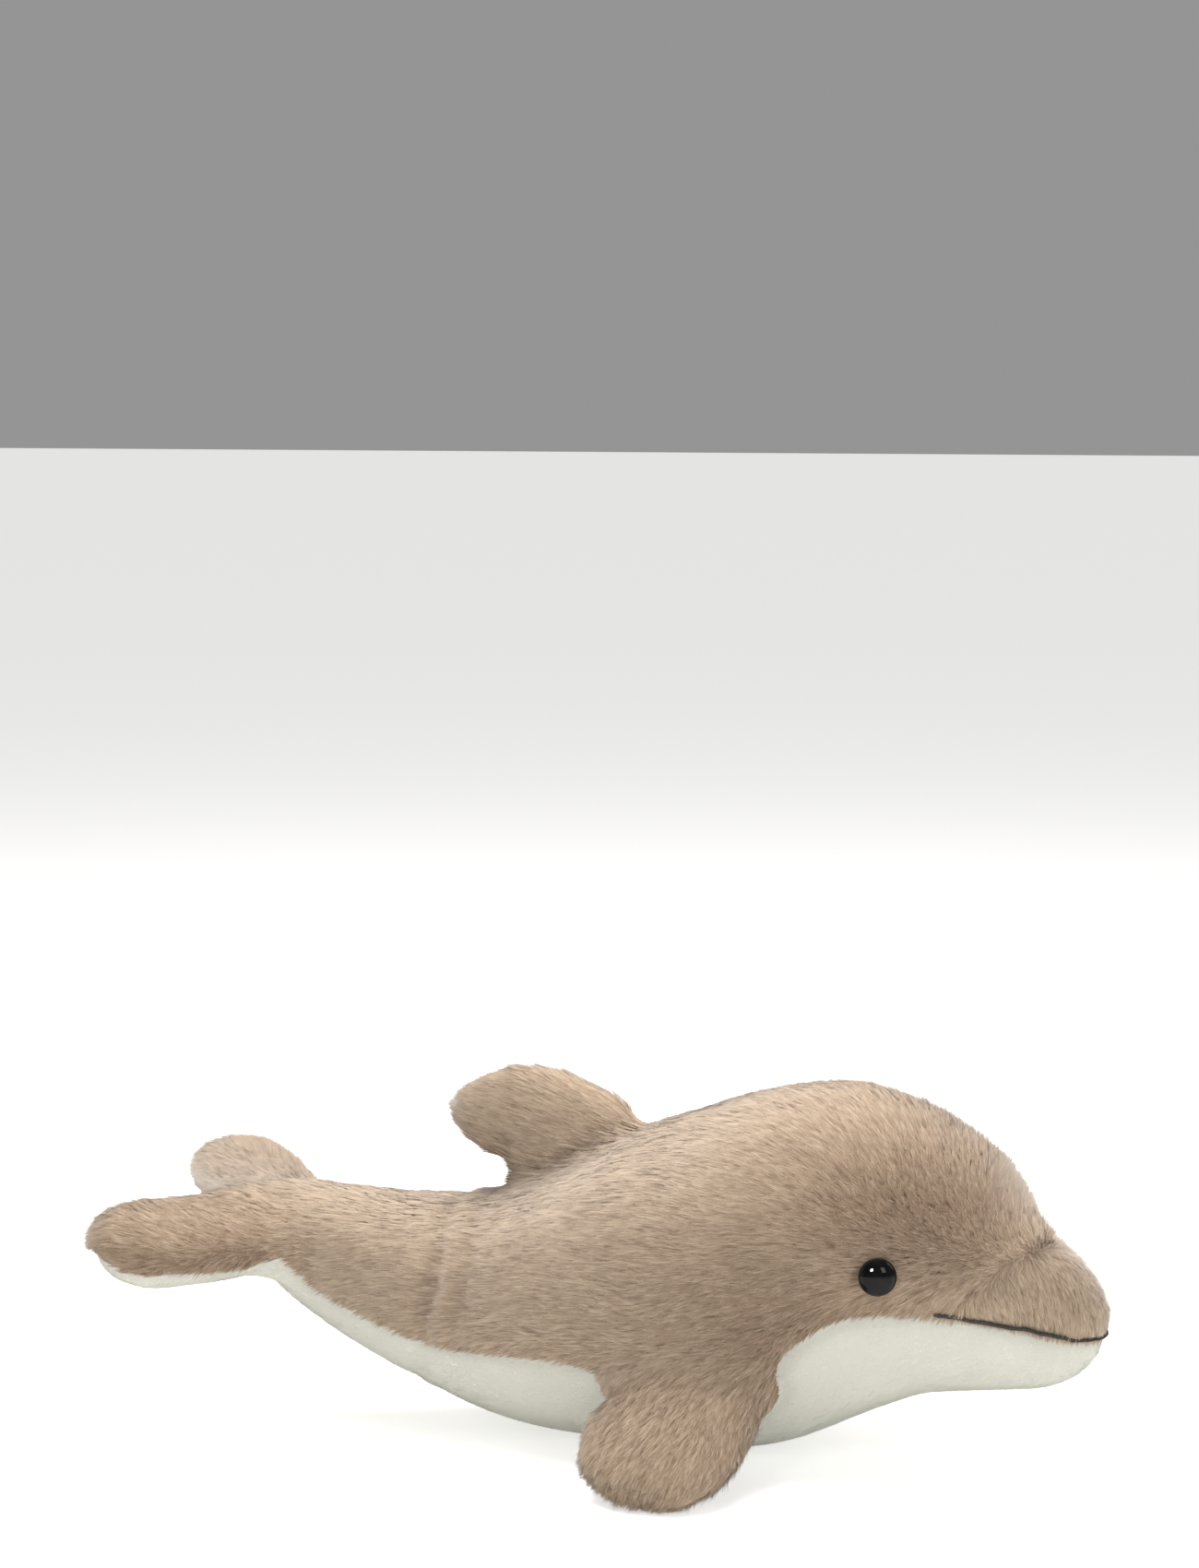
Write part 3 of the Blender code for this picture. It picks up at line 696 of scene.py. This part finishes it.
DRIFT_CELLS = 20  # to each side of the block of random arrows that is repeated
EYE_CLEARING = 0.0060
SHADING_EVENING = 24

pile_chance = np.random.default_rng(7)
triangles = np.concatenate((skin_quads[:, [0, 1, 2]], skin_quads[:, [0, 2, 3]]))
triangle_sides = (
    skin_points[triangles[:, 1]] - skin_points[triangles[:, 0]],
    skin_points[triangles[:, 2]] - skin_points[triangles[:, 0]],
)
triangle_areas = np.linalg.norm(np.cross(*triangle_sides), axis=1) / 2


def scatter(count):
    """Random places all over the skin: a function that reads a value of the skin at each of them, and
    the quad that each of them is on."""
    chosen = pile_chance.choice(len(triangles), count, p=triangle_areas / triangle_areas.sum())
    first = np.sqrt(pile_chance.random(count))
    second = pile_chance.random(count)
    shares = np.stack((1 - first, first * (1 - second), first * second), 1)

    def read(values):
        at_corners = values[triangles[chosen]]
        return np.einsum("ij,ij...->i...", shares, at_corners)

    return read, chosen % len(skin_quads)


def drift(places, cell):
    """Smooth random arrows that change over about one cell."""
    lattice = pile_chance.normal(size=(DRIFT_CELLS, DRIFT_CELLS, DRIFT_CELLS, 3))
    low = np.floor(places / cell).astype(int)
    share = places / cell - low
    share = share * share * (3 - 2 * share)
    arrows = np.zeros_like(places)
    for corner in np.ndindex(2, 2, 2):
        at = (low + corner) % DRIFT_CELLS
        weight = np.prod(np.where(corner, share, 1 - share), axis=1)
        arrows += weight[:, None] * lattice[at[:, 0], at[:, 1], at[:, 2]]
    return arrows


def strand_spines(places, normals, ways, flatness, lengths):
    """The root, middle and tip of strands that bend over the way they are brushed."""
    spines = [places]
    for lean in leans(flatness):
        arrow = np.cos(lean)[:, None] * normals + np.sin(lean)[:, None] * ways
        spines.append(spines[-1] + (lengths / 2)[:, None] * arrow)
    return np.stack(spines, 1)


def ribbons(name, spines, normals, widths, tones, material, own_light=0.35, starts=0.02):
    """Strands as one mesh of narrow pointed ribbons. Each has its tone across its texture and its
    length up it, from where it starts on the painted root shade. They are lit as the skin is, and in
    some part as they lie themselves."""
    count, rows, _ = spines.shape
    along = spines[:, -1] - spines[:, 0]
    roll = pile_chance.normal(scale=RIBBON_ROLL, size=(count, 1))
    across = unit(np.cross(along, normals + roll * unit(np.cross(along, normals))))
    half = widths[:, None] / 2 * across
    left = [spines[:, row] - half * (1 - RIBBON_TAPER * row) for row in range(rows - 1)]
    right = [spines[:, row] + half * (1 - RIBBON_TAPER * row) for row in range(rows - 1)]
    points_each = 2 * rows - 1
    points = np.empty((count, points_each, 3))
    for row in range(rows - 1):
        points[:, 2 * row] = left[row]
        points[:, 2 * row + 1] = right[row]
    points[:, -1] = spines[:, -1]
    points[..., 2] = np.maximum(points[..., 2], FLOOR_CLEARANCE)
    faces = []
    for row in range(rows - 2):
        faces.append([2 * row, 2 * row + 1, 2 * row + 3, 2 * row + 2])
    faces.append([points_each - 3, points_each - 2, points_each - 1])
    pattern = np.concatenate(faces)
    corners = (np.arange(count)[:, None] * points_each + pattern).ravel()
    sizes = np.tile([len(face) for face in faces], count)
    mesh = bpy.data.meshes.new(name)
    mesh.vertices.add(count * points_each)
    mesh.vertices.foreach_set("co", points.astype(np.float32).ravel())
    mesh.loops.add(len(corners))
    mesh.loops.foreach_set("vertex_index", corners.astype(np.int32))
    mesh.polygons.add(len(sizes))
    mesh.polygons.foreach_set("loop_start", (np.cumsum(sizes) - sizes).astype(np.int32))
    mesh.update(calc_edges=True)
    column = np.floor(np.clip(tones, 0, 0.999) * TONE_COLUMNS)
    u = np.empty((count, points_each))
    u[:, 0::2] = (column[:, None] + 0.1) / TONE_COLUMNS
    u[:, 1::2] = (column[:, None] + 0.9) / TONE_COLUMNS
    u[:, -1] = (column + 0.5) / TONE_COLUMNS
    up = np.repeat(np.linspace(0, 1, rows), 2)[:points_each]
    v = starts + (TEXTURE_TOP - starts) * np.broadcast_to(up, u.shape)
    places_on_texture = np.stack((u, v), 2).reshape(-1, 2)
    texture_map = mesh.uv_layers.new(name="OFBake")
    texture_map.uv.foreach_set("vector", places_on_texture[corners].astype(np.float32).ravel())
    mesh.shade_smooth()
    lit_from = normals + own_light * unit(along)
    lit_from[:, 2] = np.maximum(lit_from[:, 2], -0.1)
    shading = np.repeat(unit(lit_from), points_each, axis=0)
    mesh.normals_split_custom_set_from_vertices(shading)
    piece = add_object(name, mesh, material)
    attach(piece, "root")
    return piece


def pile_finish(name, root_tones_painted_shade, tip_tones):
    """Pile with shade painted darker at its roots. Each strand has its own tone, across the texture."""
    material, shader, add, links = make_material(name, 0.65)
    texture = add("ShaderNodeUVMap", uv_map="OFBake").outputs["UV"]
    parts = add("ShaderNodeSeparateXYZ", {"Vector": texture})
    tone, up = parts.outputs["X"], parts.outputs["Y"]
    roots = colour_ramp(add, tone, ((0.0, root_tones_painted_shade[0]), (1.0, root_tones_painted_shade[1])))
    tips = colour_ramp(add, tone, ((0.0, tip_tones[0]), (1.0, tip_tones[1])))
    blend = add("ShaderNodeMix", data_type="RGBA")
    links.new(up, blend.inputs[0])
    links.new(roots, blend.inputs[6])
    links.new(tips, blend.inputs[7])
    links.new(blend.outputs[2], shader.inputs["Base Color"])
    # A thin fibre is lit like the plush that it grows from, whichever of its sides shows
    surface = add("ShaderNodeNewGeometry")
    turned_round = {0: surface.outputs["Backfacing"], 1: -2.0, 2: 1.0}
    side = add("ShaderNodeMath", turned_round, operation="MULTIPLY_ADD")
    outwards = add("ShaderNodeVectorMath", {0: surface.outputs["Normal"]}, operation="SCALE")
    links.new(side.outputs["Value"], outwards.inputs["Scale"])
    links.new(outwards.outputs["Vector"], shader.inputs["Normal"])
    shader.inputs["Sheen Weight"].default_value = 0.45
    shader.inputs["Sheen Roughness"].default_value = 0.5
    shader.inputs["Specular IOR Level"].default_value = 0.0
    return material


# The roots' darker tones are painted shade, for the shadow deep down in the pile
TAN_ROOTS_PAINTED_SHADE = ((0.130, 0.080, 0.052), (0.280, 0.190, 0.130))
TAN_TIPS = ((0.300, 0.215, 0.145), (0.640, 0.512, 0.380))
tan_pile = pile_finish("tan_pile", TAN_ROOTS_PAINTED_SHADE, TAN_TIPS)

eye_middles = []
for name in ("eye_left", "eye_right"):
    low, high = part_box(name)
    eye_middles.append(np.array((low + high) / 2))

skin_area = triangle_areas.sum()
quick_share = 1.0
read, on_quad = scatter(int(skin_area * STRANDS_PER_SQUARE_METRE * quick_share))
strand_panel = nearest_tan[on_quad]
roots = read(skin_points)
root_normals = unit(read(skin_normals))
at_fold = ridge(0.010, before_fold(skin_points))[:, None]
soft_normals = evened(skin_normals, np.maximum(round_flippers, at_fold), SHADING_EVENING)
lit_normals = unit(read(soft_normals))
fields = [read(field) for field in (on_tan, in_dorsal, in_fluke, in_flippers)]
tan_here = fields[0] > 0
for middle in eye_middles:
    tan_here &= np.linalg.norm(roots - middle, axis=1) > EYE_CLEARING
roots, root_normals, lit_normals = roots[tan_here], root_normals[tan_here], lit_normals[tan_here]
strand_panel = strand_panel[tan_here]
fields = [field[tan_here] for field in fields]
ways, flatness = brushed(roots, root_normals, *fields)
lengths = strand_lengths(roots, flatness, fields[0]) * pile_chance.normal(1.0, 0.08, len(roots))
astray = (0.08 + 0.30 * (1 - np.minimum(flatness, 1)))[:, None]
ways = ways + 0.12 * drift(roots, 0.022)
ways = unit(ways + astray * pile_chance.normal(size=ways.shape))
lifts = pile_lift(flatness) * pile_chance.random(len(roots))
roots = roots + lifts[:, None] * root_normals
spines = strand_spines(roots, root_normals, ways, flatness, lengths)

# Locks: each strand bends towards the strand in the middle of its lock
lock_count = int(skin_area * LOCKS_PER_SQUARE_METRE)
lock_middles = pile_chance.choice(len(roots), lock_count, replace=False)
lock_tree = KDTree(lock_count)
for number, place in enumerate(roots[lock_middles]):
    lock_tree.insert(place, number)
lock_tree.balance()
strand_lock = np.array([lock_tree.find(place)[1] for place in roots])
lock_ways = ways[lock_middles]
lock_flatness = np.clip(flatness[lock_middles] + pile_chance.normal(0, 0.05, lock_count), 0, 1.02)
lock_lengths = lengths[lock_middles]
lock_spines = strand_spines(
    roots[lock_middles], root_normals[lock_middles], lock_ways, lock_flatness, lock_lengths
)
gathered = np.array(GATHERED)[None, :, None]
spines = spines + gathered * (lock_spines[strand_lock] - spines)

# Painted shade and light: each lock's tone is painted darker where the pile stands on end, and lighter where
# it lies flat and over the fold, as the light reaches more of each strand there
painted_lightness = np.clip(flatness + 0.5 * ridge(0.005, before_fold(roots)), 0, 1)
lock_tones = pile_chance.normal(TONE, LOCK_TONE_SPREAD, lock_count)
lock_tones -= DEEP_PILE_PAINTED_SHADE * (1 - painted_lightness[lock_middles])
# Painted shade: the fluke's pile is made darker, for light that falls less on its lobes
lock_tones -= FLUKE_PAINTED_SHADE * eased(-0.004, 0.010, fields[2][lock_middles])
# Painted light lightens the beak's pile, which also has paler tips of its own
lock_tones += BEAK_PALE_TIPS_AND_PAINTED_LIGHT * eased(0.0, 0.030, before_fold(roots[lock_middles]))
tones = lock_tones[strand_lock] + pile_chance.normal(0, STRAND_TONE_SPREAD, len(roots))
widths = STRAND_WIDTH * pile_chance.uniform(0.7, 1.2, len(roots))

for number in np.nonzero(~is_white)[0]:
    panel = PANEL_NODES[number]
    here = np.nonzero(strand_panel == number)[0]
    parts = max(LEAST_PIECES, math.ceil(len(here) / STRANDS_PER_PIECE))
    for part, chosen in enumerate(np.array_split(here, parts)):
        # Where the pile lies flat, each strand starts higher up its painted root shade, so it is painted
        # lighter
        pile = ribbons(
            f"{panel}_pile_{part + 1}",
            spines[chosen],
            lit_normals[chosen],
            widths[chosen],
            tones[chosen],
            tan_pile,
            starts=0.02 + 0.35 * painted_lightness[chosen, None],
        )
        # Light passes through most of the thin fibres
        pile.visible_shadow = part == 0
        pile.visible_diffuse = part == 0

# Short white pile
# The jaw, the belly and the underside of the fluke are short velvety plush, about 2 mm high.
VELVET_PER_SQUARE_METRE = 4.5e6
VELVET_PARTS = 3
VELVET_LENGTH = 0.0020
VELVET_WIDTH = 0.00034
VELVET_LEAN = 72  # degrees
VELVET_LEAN_SPREAD = 4
# The roots' slightly darker tones are painted shade
WHITE_ROOTS_PAINTED_SHADE = ((0.570, 0.570, 0.498), (0.628, 0.628, 0.555))
WHITE_TIPS = ((0.600, 0.600, 0.528), (0.668, 0.668, 0.595))
white_pile = pile_finish("white_pile", WHITE_ROOTS_PAINTED_SHADE, WHITE_TIPS)

read, on_quad = scatter(int(skin_area * VELVET_PER_SQUARE_METRE * quick_share))
white_here = read(on_tan) <= 0
roots = read(skin_points)[white_here]
root_normals = unit(read(skin_normals))[white_here]
velvet_panel = nearest_white[on_quad[white_here]]
backwards = np.tile((-1.0, 0.0, 0.0), (len(roots), 1)) + 0.2 * drift(roots, 0.03)
backwards += 0.35 * pile_chance.normal(size=roots.shape)
ways = unit(backwards - np.sum(backwards * root_normals, axis=1, keepdims=True) * root_normals)
lean = np.radians(pile_chance.normal(VELVET_LEAN, VELVET_LEAN_SPREAD, len(roots)))[:, None]
tips = roots + VELVET_LENGTH * (np.cos(lean) * root_normals + np.sin(lean) * ways)
spines = np.stack((roots, tips), 1)
widths = VELVET_WIDTH * pile_chance.uniform(0.7, 1.3, len(roots))
tones = pile_chance.normal(0.5, 0.08, len(roots)) + 0.08 * drift(roots, 0.014)[:, 0]
for number in np.nonzero(is_white)[0]:
    panel = PANEL_NODES[number]
    here = np.nonzero(velvet_panel == number)[0]
    for part, chosen in enumerate(np.array_split(here, VELVET_PARTS)):
        velvet = ribbons(
            f"{panel}_velvet_{part + 1}",
            spines[chosen],
            root_normals[chosen],
            widths[chosen],
            tones[chosen],
            white_pile,
            own_light=0.08,
        )
        velvet.visible_shadow = False
        velvet.visible_diffuse = False

# Eyes
# Black plastic domes, moulded with a post behind that passes through the plush into its washer.
EYE_FACETS = 56
EYE_RIM_RADIUS = 0.0070
EYE_RIM_ROUNDING = 0.0005
EYE_POST_RADIUS = 0.0020
EYE_DOME_STEPS = 14
EYE_DOME_FROM_WASHER = 0.006  # all the CAD eye's points that are farther off are on its dome

eye_finish, eye_shader, add, links = make_material("black_eye", 0.04)
eye_shader.inputs["IOR"].default_value = 1.25
place = add("ShaderNodeTexCoord").outputs["Object"]
moulding = add("ShaderNodeTexNoise", {"Vector": place, "Scale": 220.0, "Detail": 2.0})
blacks = ((0.35, (0.004, 0.004, 0.005)), (0.7, (0.009, 0.008, 0.008)))
black = colour_ramp(add, moulding.outputs["Fac"], blacks)
links.new(black, eye_shader.inputs["Base Color"])

for side_name in ("left", "right"):
    eye_points = mesh_points(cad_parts["eye_" + side_name].data)
    washer_middle = mesh_points(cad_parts["eye_washer_" + side_name].data).mean(axis=0)
    dome_points = eye_points[np.linalg.norm(eye_points - washer_middle, axis=1) > EYE_DOME_FROM_WASHER]
    facing = unit(dome_points.mean(axis=0) - washer_middle)
    heights = (eye_points - washer_middle) @ facing
    from_axis = np.linalg.norm(eye_points - washer_middle - heights[:, None] * facing, axis=1)
    back = heights[from_axis > 0.9 * from_axis.max()].min()
    top, post_end = heights.max(), heights.min()
    profile = [(0.0, post_end), (EYE_POST_RADIUS, post_end), (EYE_POST_RADIUS, back)]
    profile.append((EYE_RIM_RADIUS - EYE_RIM_ROUNDING, back))
    shoulder = back + 2 * EYE_RIM_ROUNDING
    for step in range(EYE_DOME_STEPS + 1):
        turn = math.pi / 2 * step / EYE_DOME_STEPS
        height = shoulder + (top - shoulder) * math.sin(turn)
        profile.append((EYE_RIM_RADIUS * math.cos(turn), height))
    shape = bmesh.new()
    outline = [shape.verts.new((radius, 0, height)) for radius, height in profile]
    edges = [shape.edges.new(pair) for pair in zip(outline, outline[1:])]
    bmesh.ops.spin(
        shape, geom=outline + edges, axis=(0, 0, 1), steps=EYE_FACETS, angle=2 * math.pi, use_merge=True
    )
    bmesh.ops.remove_doubles(shape, verts=shape.verts, dist=WELD)
    bmesh.ops.recalc_face_normals(shape, faces=shape.faces)
    turned = Vector(facing).to_track_quat("Z", "Y").to_matrix().to_4x4()
    shape.transform(Matrix.Translation(washer_middle) @ turned)
    eye = finish_shape(f"eye_{side_name}_dome", shape, eye_finish)
    eye.data.shade_smooth()
    eye.data.set_sharp_from_angle(angle=math.radians(60))
    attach(eye, "root")
    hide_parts("eye_" + side_name)

# Mouth
# Black two-ply thread, stitched along the seam between tan and white from one corner of the mouth
# round the beak to the other. Loose fibres stand out from it, and the pile above hangs over it.
PLY_RADIUS = 0.00043
PLY_FROM_MIDDLE = 0.00033
PLY_PITCH = 0.0024
THREAD_STEP = 0.00025
THREAD_PROUD = 0.0025  # how far its middle stands out from the backing
MOUTH_REACH = 0.0080  # the seam counts as the mouth within this distance of the CAD thread
MOUTH_CORNER_REACH = 0.003  # and no farther than this behind the CAD thread's ends
MOUTH_CENTRE_X = 0.105  # the middle that the thread runs round
THREAD_EVENING = 60
FIBRE_COUNT = 4000
FIBRE_LENGTH = 0.0014
FIBRE_WIDTH = 0.00012
THREAD_WANDER = 0.00022


def smoothed(rows, times):
    """A path with its points evened out, and its ends kept."""
    for _ in range(times):
        rows = np.concatenate((rows[:1], (rows[:-2] + 2 * rows[1:-1] + rows[2:]) / 4, rows[-1:]))
    return rows


def even_steps(rows, step):
    """A path with points at equal steps along it."""
    lengths_between = np.linalg.norm(np.diff(rows, axis=0), axis=1)
    along = np.concatenate(([0], np.cumsum(lengths_between)))
    at = np.linspace(0, along[-1], int(along[-1] / step))
    return np.stack([np.interp(at, along, rows[:, axis]) for axis in range(3)], 1), at


def tubes(name, paths, radius, material):
    """Round cords along some paths, as one mesh."""
    curve = bpy.data.curves.new(name, "CURVE")
    curve.dimensions = "3D"
    curve.bevel_depth = radius
    curve.bevel_resolution = 1
    curve.use_fill_caps = True
    for path in paths:
        spline = curve.splines.new("POLY")
        spline.points.add(len(path) - 1)
        spline.points.foreach_set("co", np.column_stack((path, np.ones(len(path)))).ravel())
    cord = bpy.data.objects.new(name, curve)
    mesh = bpy.data.meshes.new_from_object(cord)
    bpy.data.objects.remove(cord)
    mesh.shade_smooth()
    return add_object(name, mesh, material)


low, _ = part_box("mouth_stitching")
mouth_distance = distances(["mouth_stitching"], skin_points)
edge_sides = on_tan[skin_edges]
crossing = (edge_sides[:, 0] > 0) & (edge_sides[:, 1] <= 0)
crossing &= mouth_distance[skin_edges].max(axis=1) < MOUTH_REACH
crossing &= skin_points[skin_edges[:, 0], 0] > low.x - MOUTH_CORNER_REACH
first, second = skin_edges[crossing].T
share = (on_tan[first] / (on_tan[first] - on_tan[second]))[:, None]
seam_points = (1 - share) * skin_points[first] + share * skin_points[second]
seam_normals = unit((1 - share) * skin_normals[first] + share * skin_normals[second])
order = np.argsort(np.arctan2(seam_points[:, 1], seam_points[:, 0] - MOUTH_CENTRE_X))
middle_line = smoothed(seam_points[order] + THREAD_PROUD * seam_normals[order], THREAD_EVENING)
middle_line, along_thread = even_steps(middle_line, THREAD_STEP)
middle_line = middle_line + THREAD_WANDER * drift(middle_line, 0.005)
thread_ways = unit(np.gradient(middle_line, axis=0))
thread_outwards = unit(np.cross(thread_ways, (0, 0, 1)))
thread_upwards = unit(np.cross(thread_outwards, thread_ways))
plies = []
for ply in range(2):
    turn = 2 * math.pi * along_thread / PLY_PITCH + math.pi * ply
    aside = np.cos(turn)[:, None] * thread_outwards + np.sin(turn)[:, None] * thread_upwards
    plies.append(middle_line + PLY_FROM_MIDDLE * aside)

thread_finish, thread_shader, add, links = make_material("black_thread", 0.75)
place = add("ShaderNodeTexCoord").outputs["Object"]
lint = add("ShaderNodeTexNoise", {"Vector": place, "Scale": 900.0, "Detail": 3.0})
blacks = ((0.35, (0.006, 0.005, 0.005)), (0.75, (0.022, 0.019, 0.018)))
black = colour_ramp(add, lint.outputs["Fac"], blacks)
links.new(black, thread_shader.inputs["Base Color"])
thread = tubes("mouth_thread", plies, PLY_RADIUS, thread_finish)
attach(thread, "root")
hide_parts("mouth_stitching")

fibre_at = pile_chance.integers(0, len(middle_line), FIBRE_COUNT)
fibre_turn = pile_chance.uniform(0, 2 * math.pi, FIBRE_COUNT)
fibre_out = np.cos(fibre_turn)[:, None] * thread_outwards[fibre_at]
fibre_out = fibre_out + np.sin(fibre_turn)[:, None] * thread_upwards[fibre_at]
fibre_ways = unit(fibre_out + thread_ways[fibre_at] * pile_chance.normal(0, 0.7, (FIBRE_COUNT, 1)))
fibre_roots = middle_line[fibre_at] + PLY_FROM_MIDDLE * fibre_out
fibre_lengths = FIBRE_LENGTH * pile_chance.uniform(0.4, 1.0, (FIBRE_COUNT, 1))
ribbons(
    "mouth_thread_lint",
    np.stack((fibre_roots, fibre_roots + fibre_lengths * fibre_ways), 1),
    fibre_out,
    np.full(FIBRE_COUNT, FIBRE_WIDTH),
    np.full(FIBRE_COUNT, 0.5),
    thread_finish,
)

# Fillings
# Loose polyester fibre, blown in until the panels stand out. It is one lumpy mass in each part.
FILLING_VOXEL = 0.004
FILLING_CLEARANCE = 0.0012  # from the skin round it
LUMP_SIZE = 0.018
LUMP_HEIGHT = 0.0009
WAD_SMOOTHING = 4

fibre_finish, fibre_shader, add, links = make_material("fibre_filling", 0.95)
place = add("ShaderNodeTexCoord").outputs["Object"]
strands = add("ShaderNodeTexWave", {"Vector": place, "Scale": 90.0, "Distortion": 14.0, "Detail": 4.0})
whites = ((0.2, (0.78, 0.78, 0.76)), (0.8, (0.92, 0.92, 0.90)))
shade = colour_ramp(add, strands.outputs["Fac"], whites)
links.new(shade, fibre_shader.inputs["Base Color"])
fluff = add("ShaderNodeBump", {"Height": strands.outputs["Fac"], "Distance": 0.0008})
links.new(fluff.outputs["Normal"], fibre_shader.inputs["Normal"])

for name in SOFT_NODES:
    if "filling" in name:
        wad = remeshed(name + "_wad", [name], FILLING_VOXEL)
        wad_smoothing = wad.modifiers.new("smoothing", "SMOOTH")
        wad_smoothing.iterations = WAD_SMOOTHING
        apply_modifiers(wad)
        points, normals = mesh_points(wad.data), mesh_normals(wad.data)
        lumps = LUMP_HEIGHT * np.clip(drift(points, LUMP_SIZE)[:, :1], -1, 1)
        set_points(wad.data, settled(points + lumps * normals))
        fitting = wad.modifiers.new("fitting", "SHRINKWRAP")
        fitting.target = skin
        fitting.wrap_mode = "INSIDE"
        fitting.offset = FILLING_CLEARANCE
        apply_modifiers(wad)
        wad.data.shade_smooth()
        wad.data.materials.append(fibre_finish)
        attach(wad, "root")
        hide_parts(name)
        wad.visible_shadow = "flipper" not in name

# Washers
# Moulded plastic discs inside the plush, pressed onto the posts of the eyes.
washer_finish, washer_shader, add, links = make_material("washer_plastic", 0.5)
place = add("ShaderNodeTexCoord").outputs["Object"]
flow = add("ShaderNodeTexNoise", {"Vector": place, "Scale": 300.0, "Detail": 3.0})
greys = ((0.3, (0.64, 0.64, 0.62)), (0.7, (0.74, 0.74, 0.72)))
shade = colour_ramp(add, flow.outputs["Fac"], greys)
links.new(shade, washer_shader.inputs["Base Color"])

for name in ("eye_washer_left", "eye_washer_right"):
    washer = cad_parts[name]
    for slot in washer.material_slots:
        slot.material = washer_finish

bpy.data.objects.remove(hull)
bpy.data.objects.remove(skin)

low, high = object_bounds()
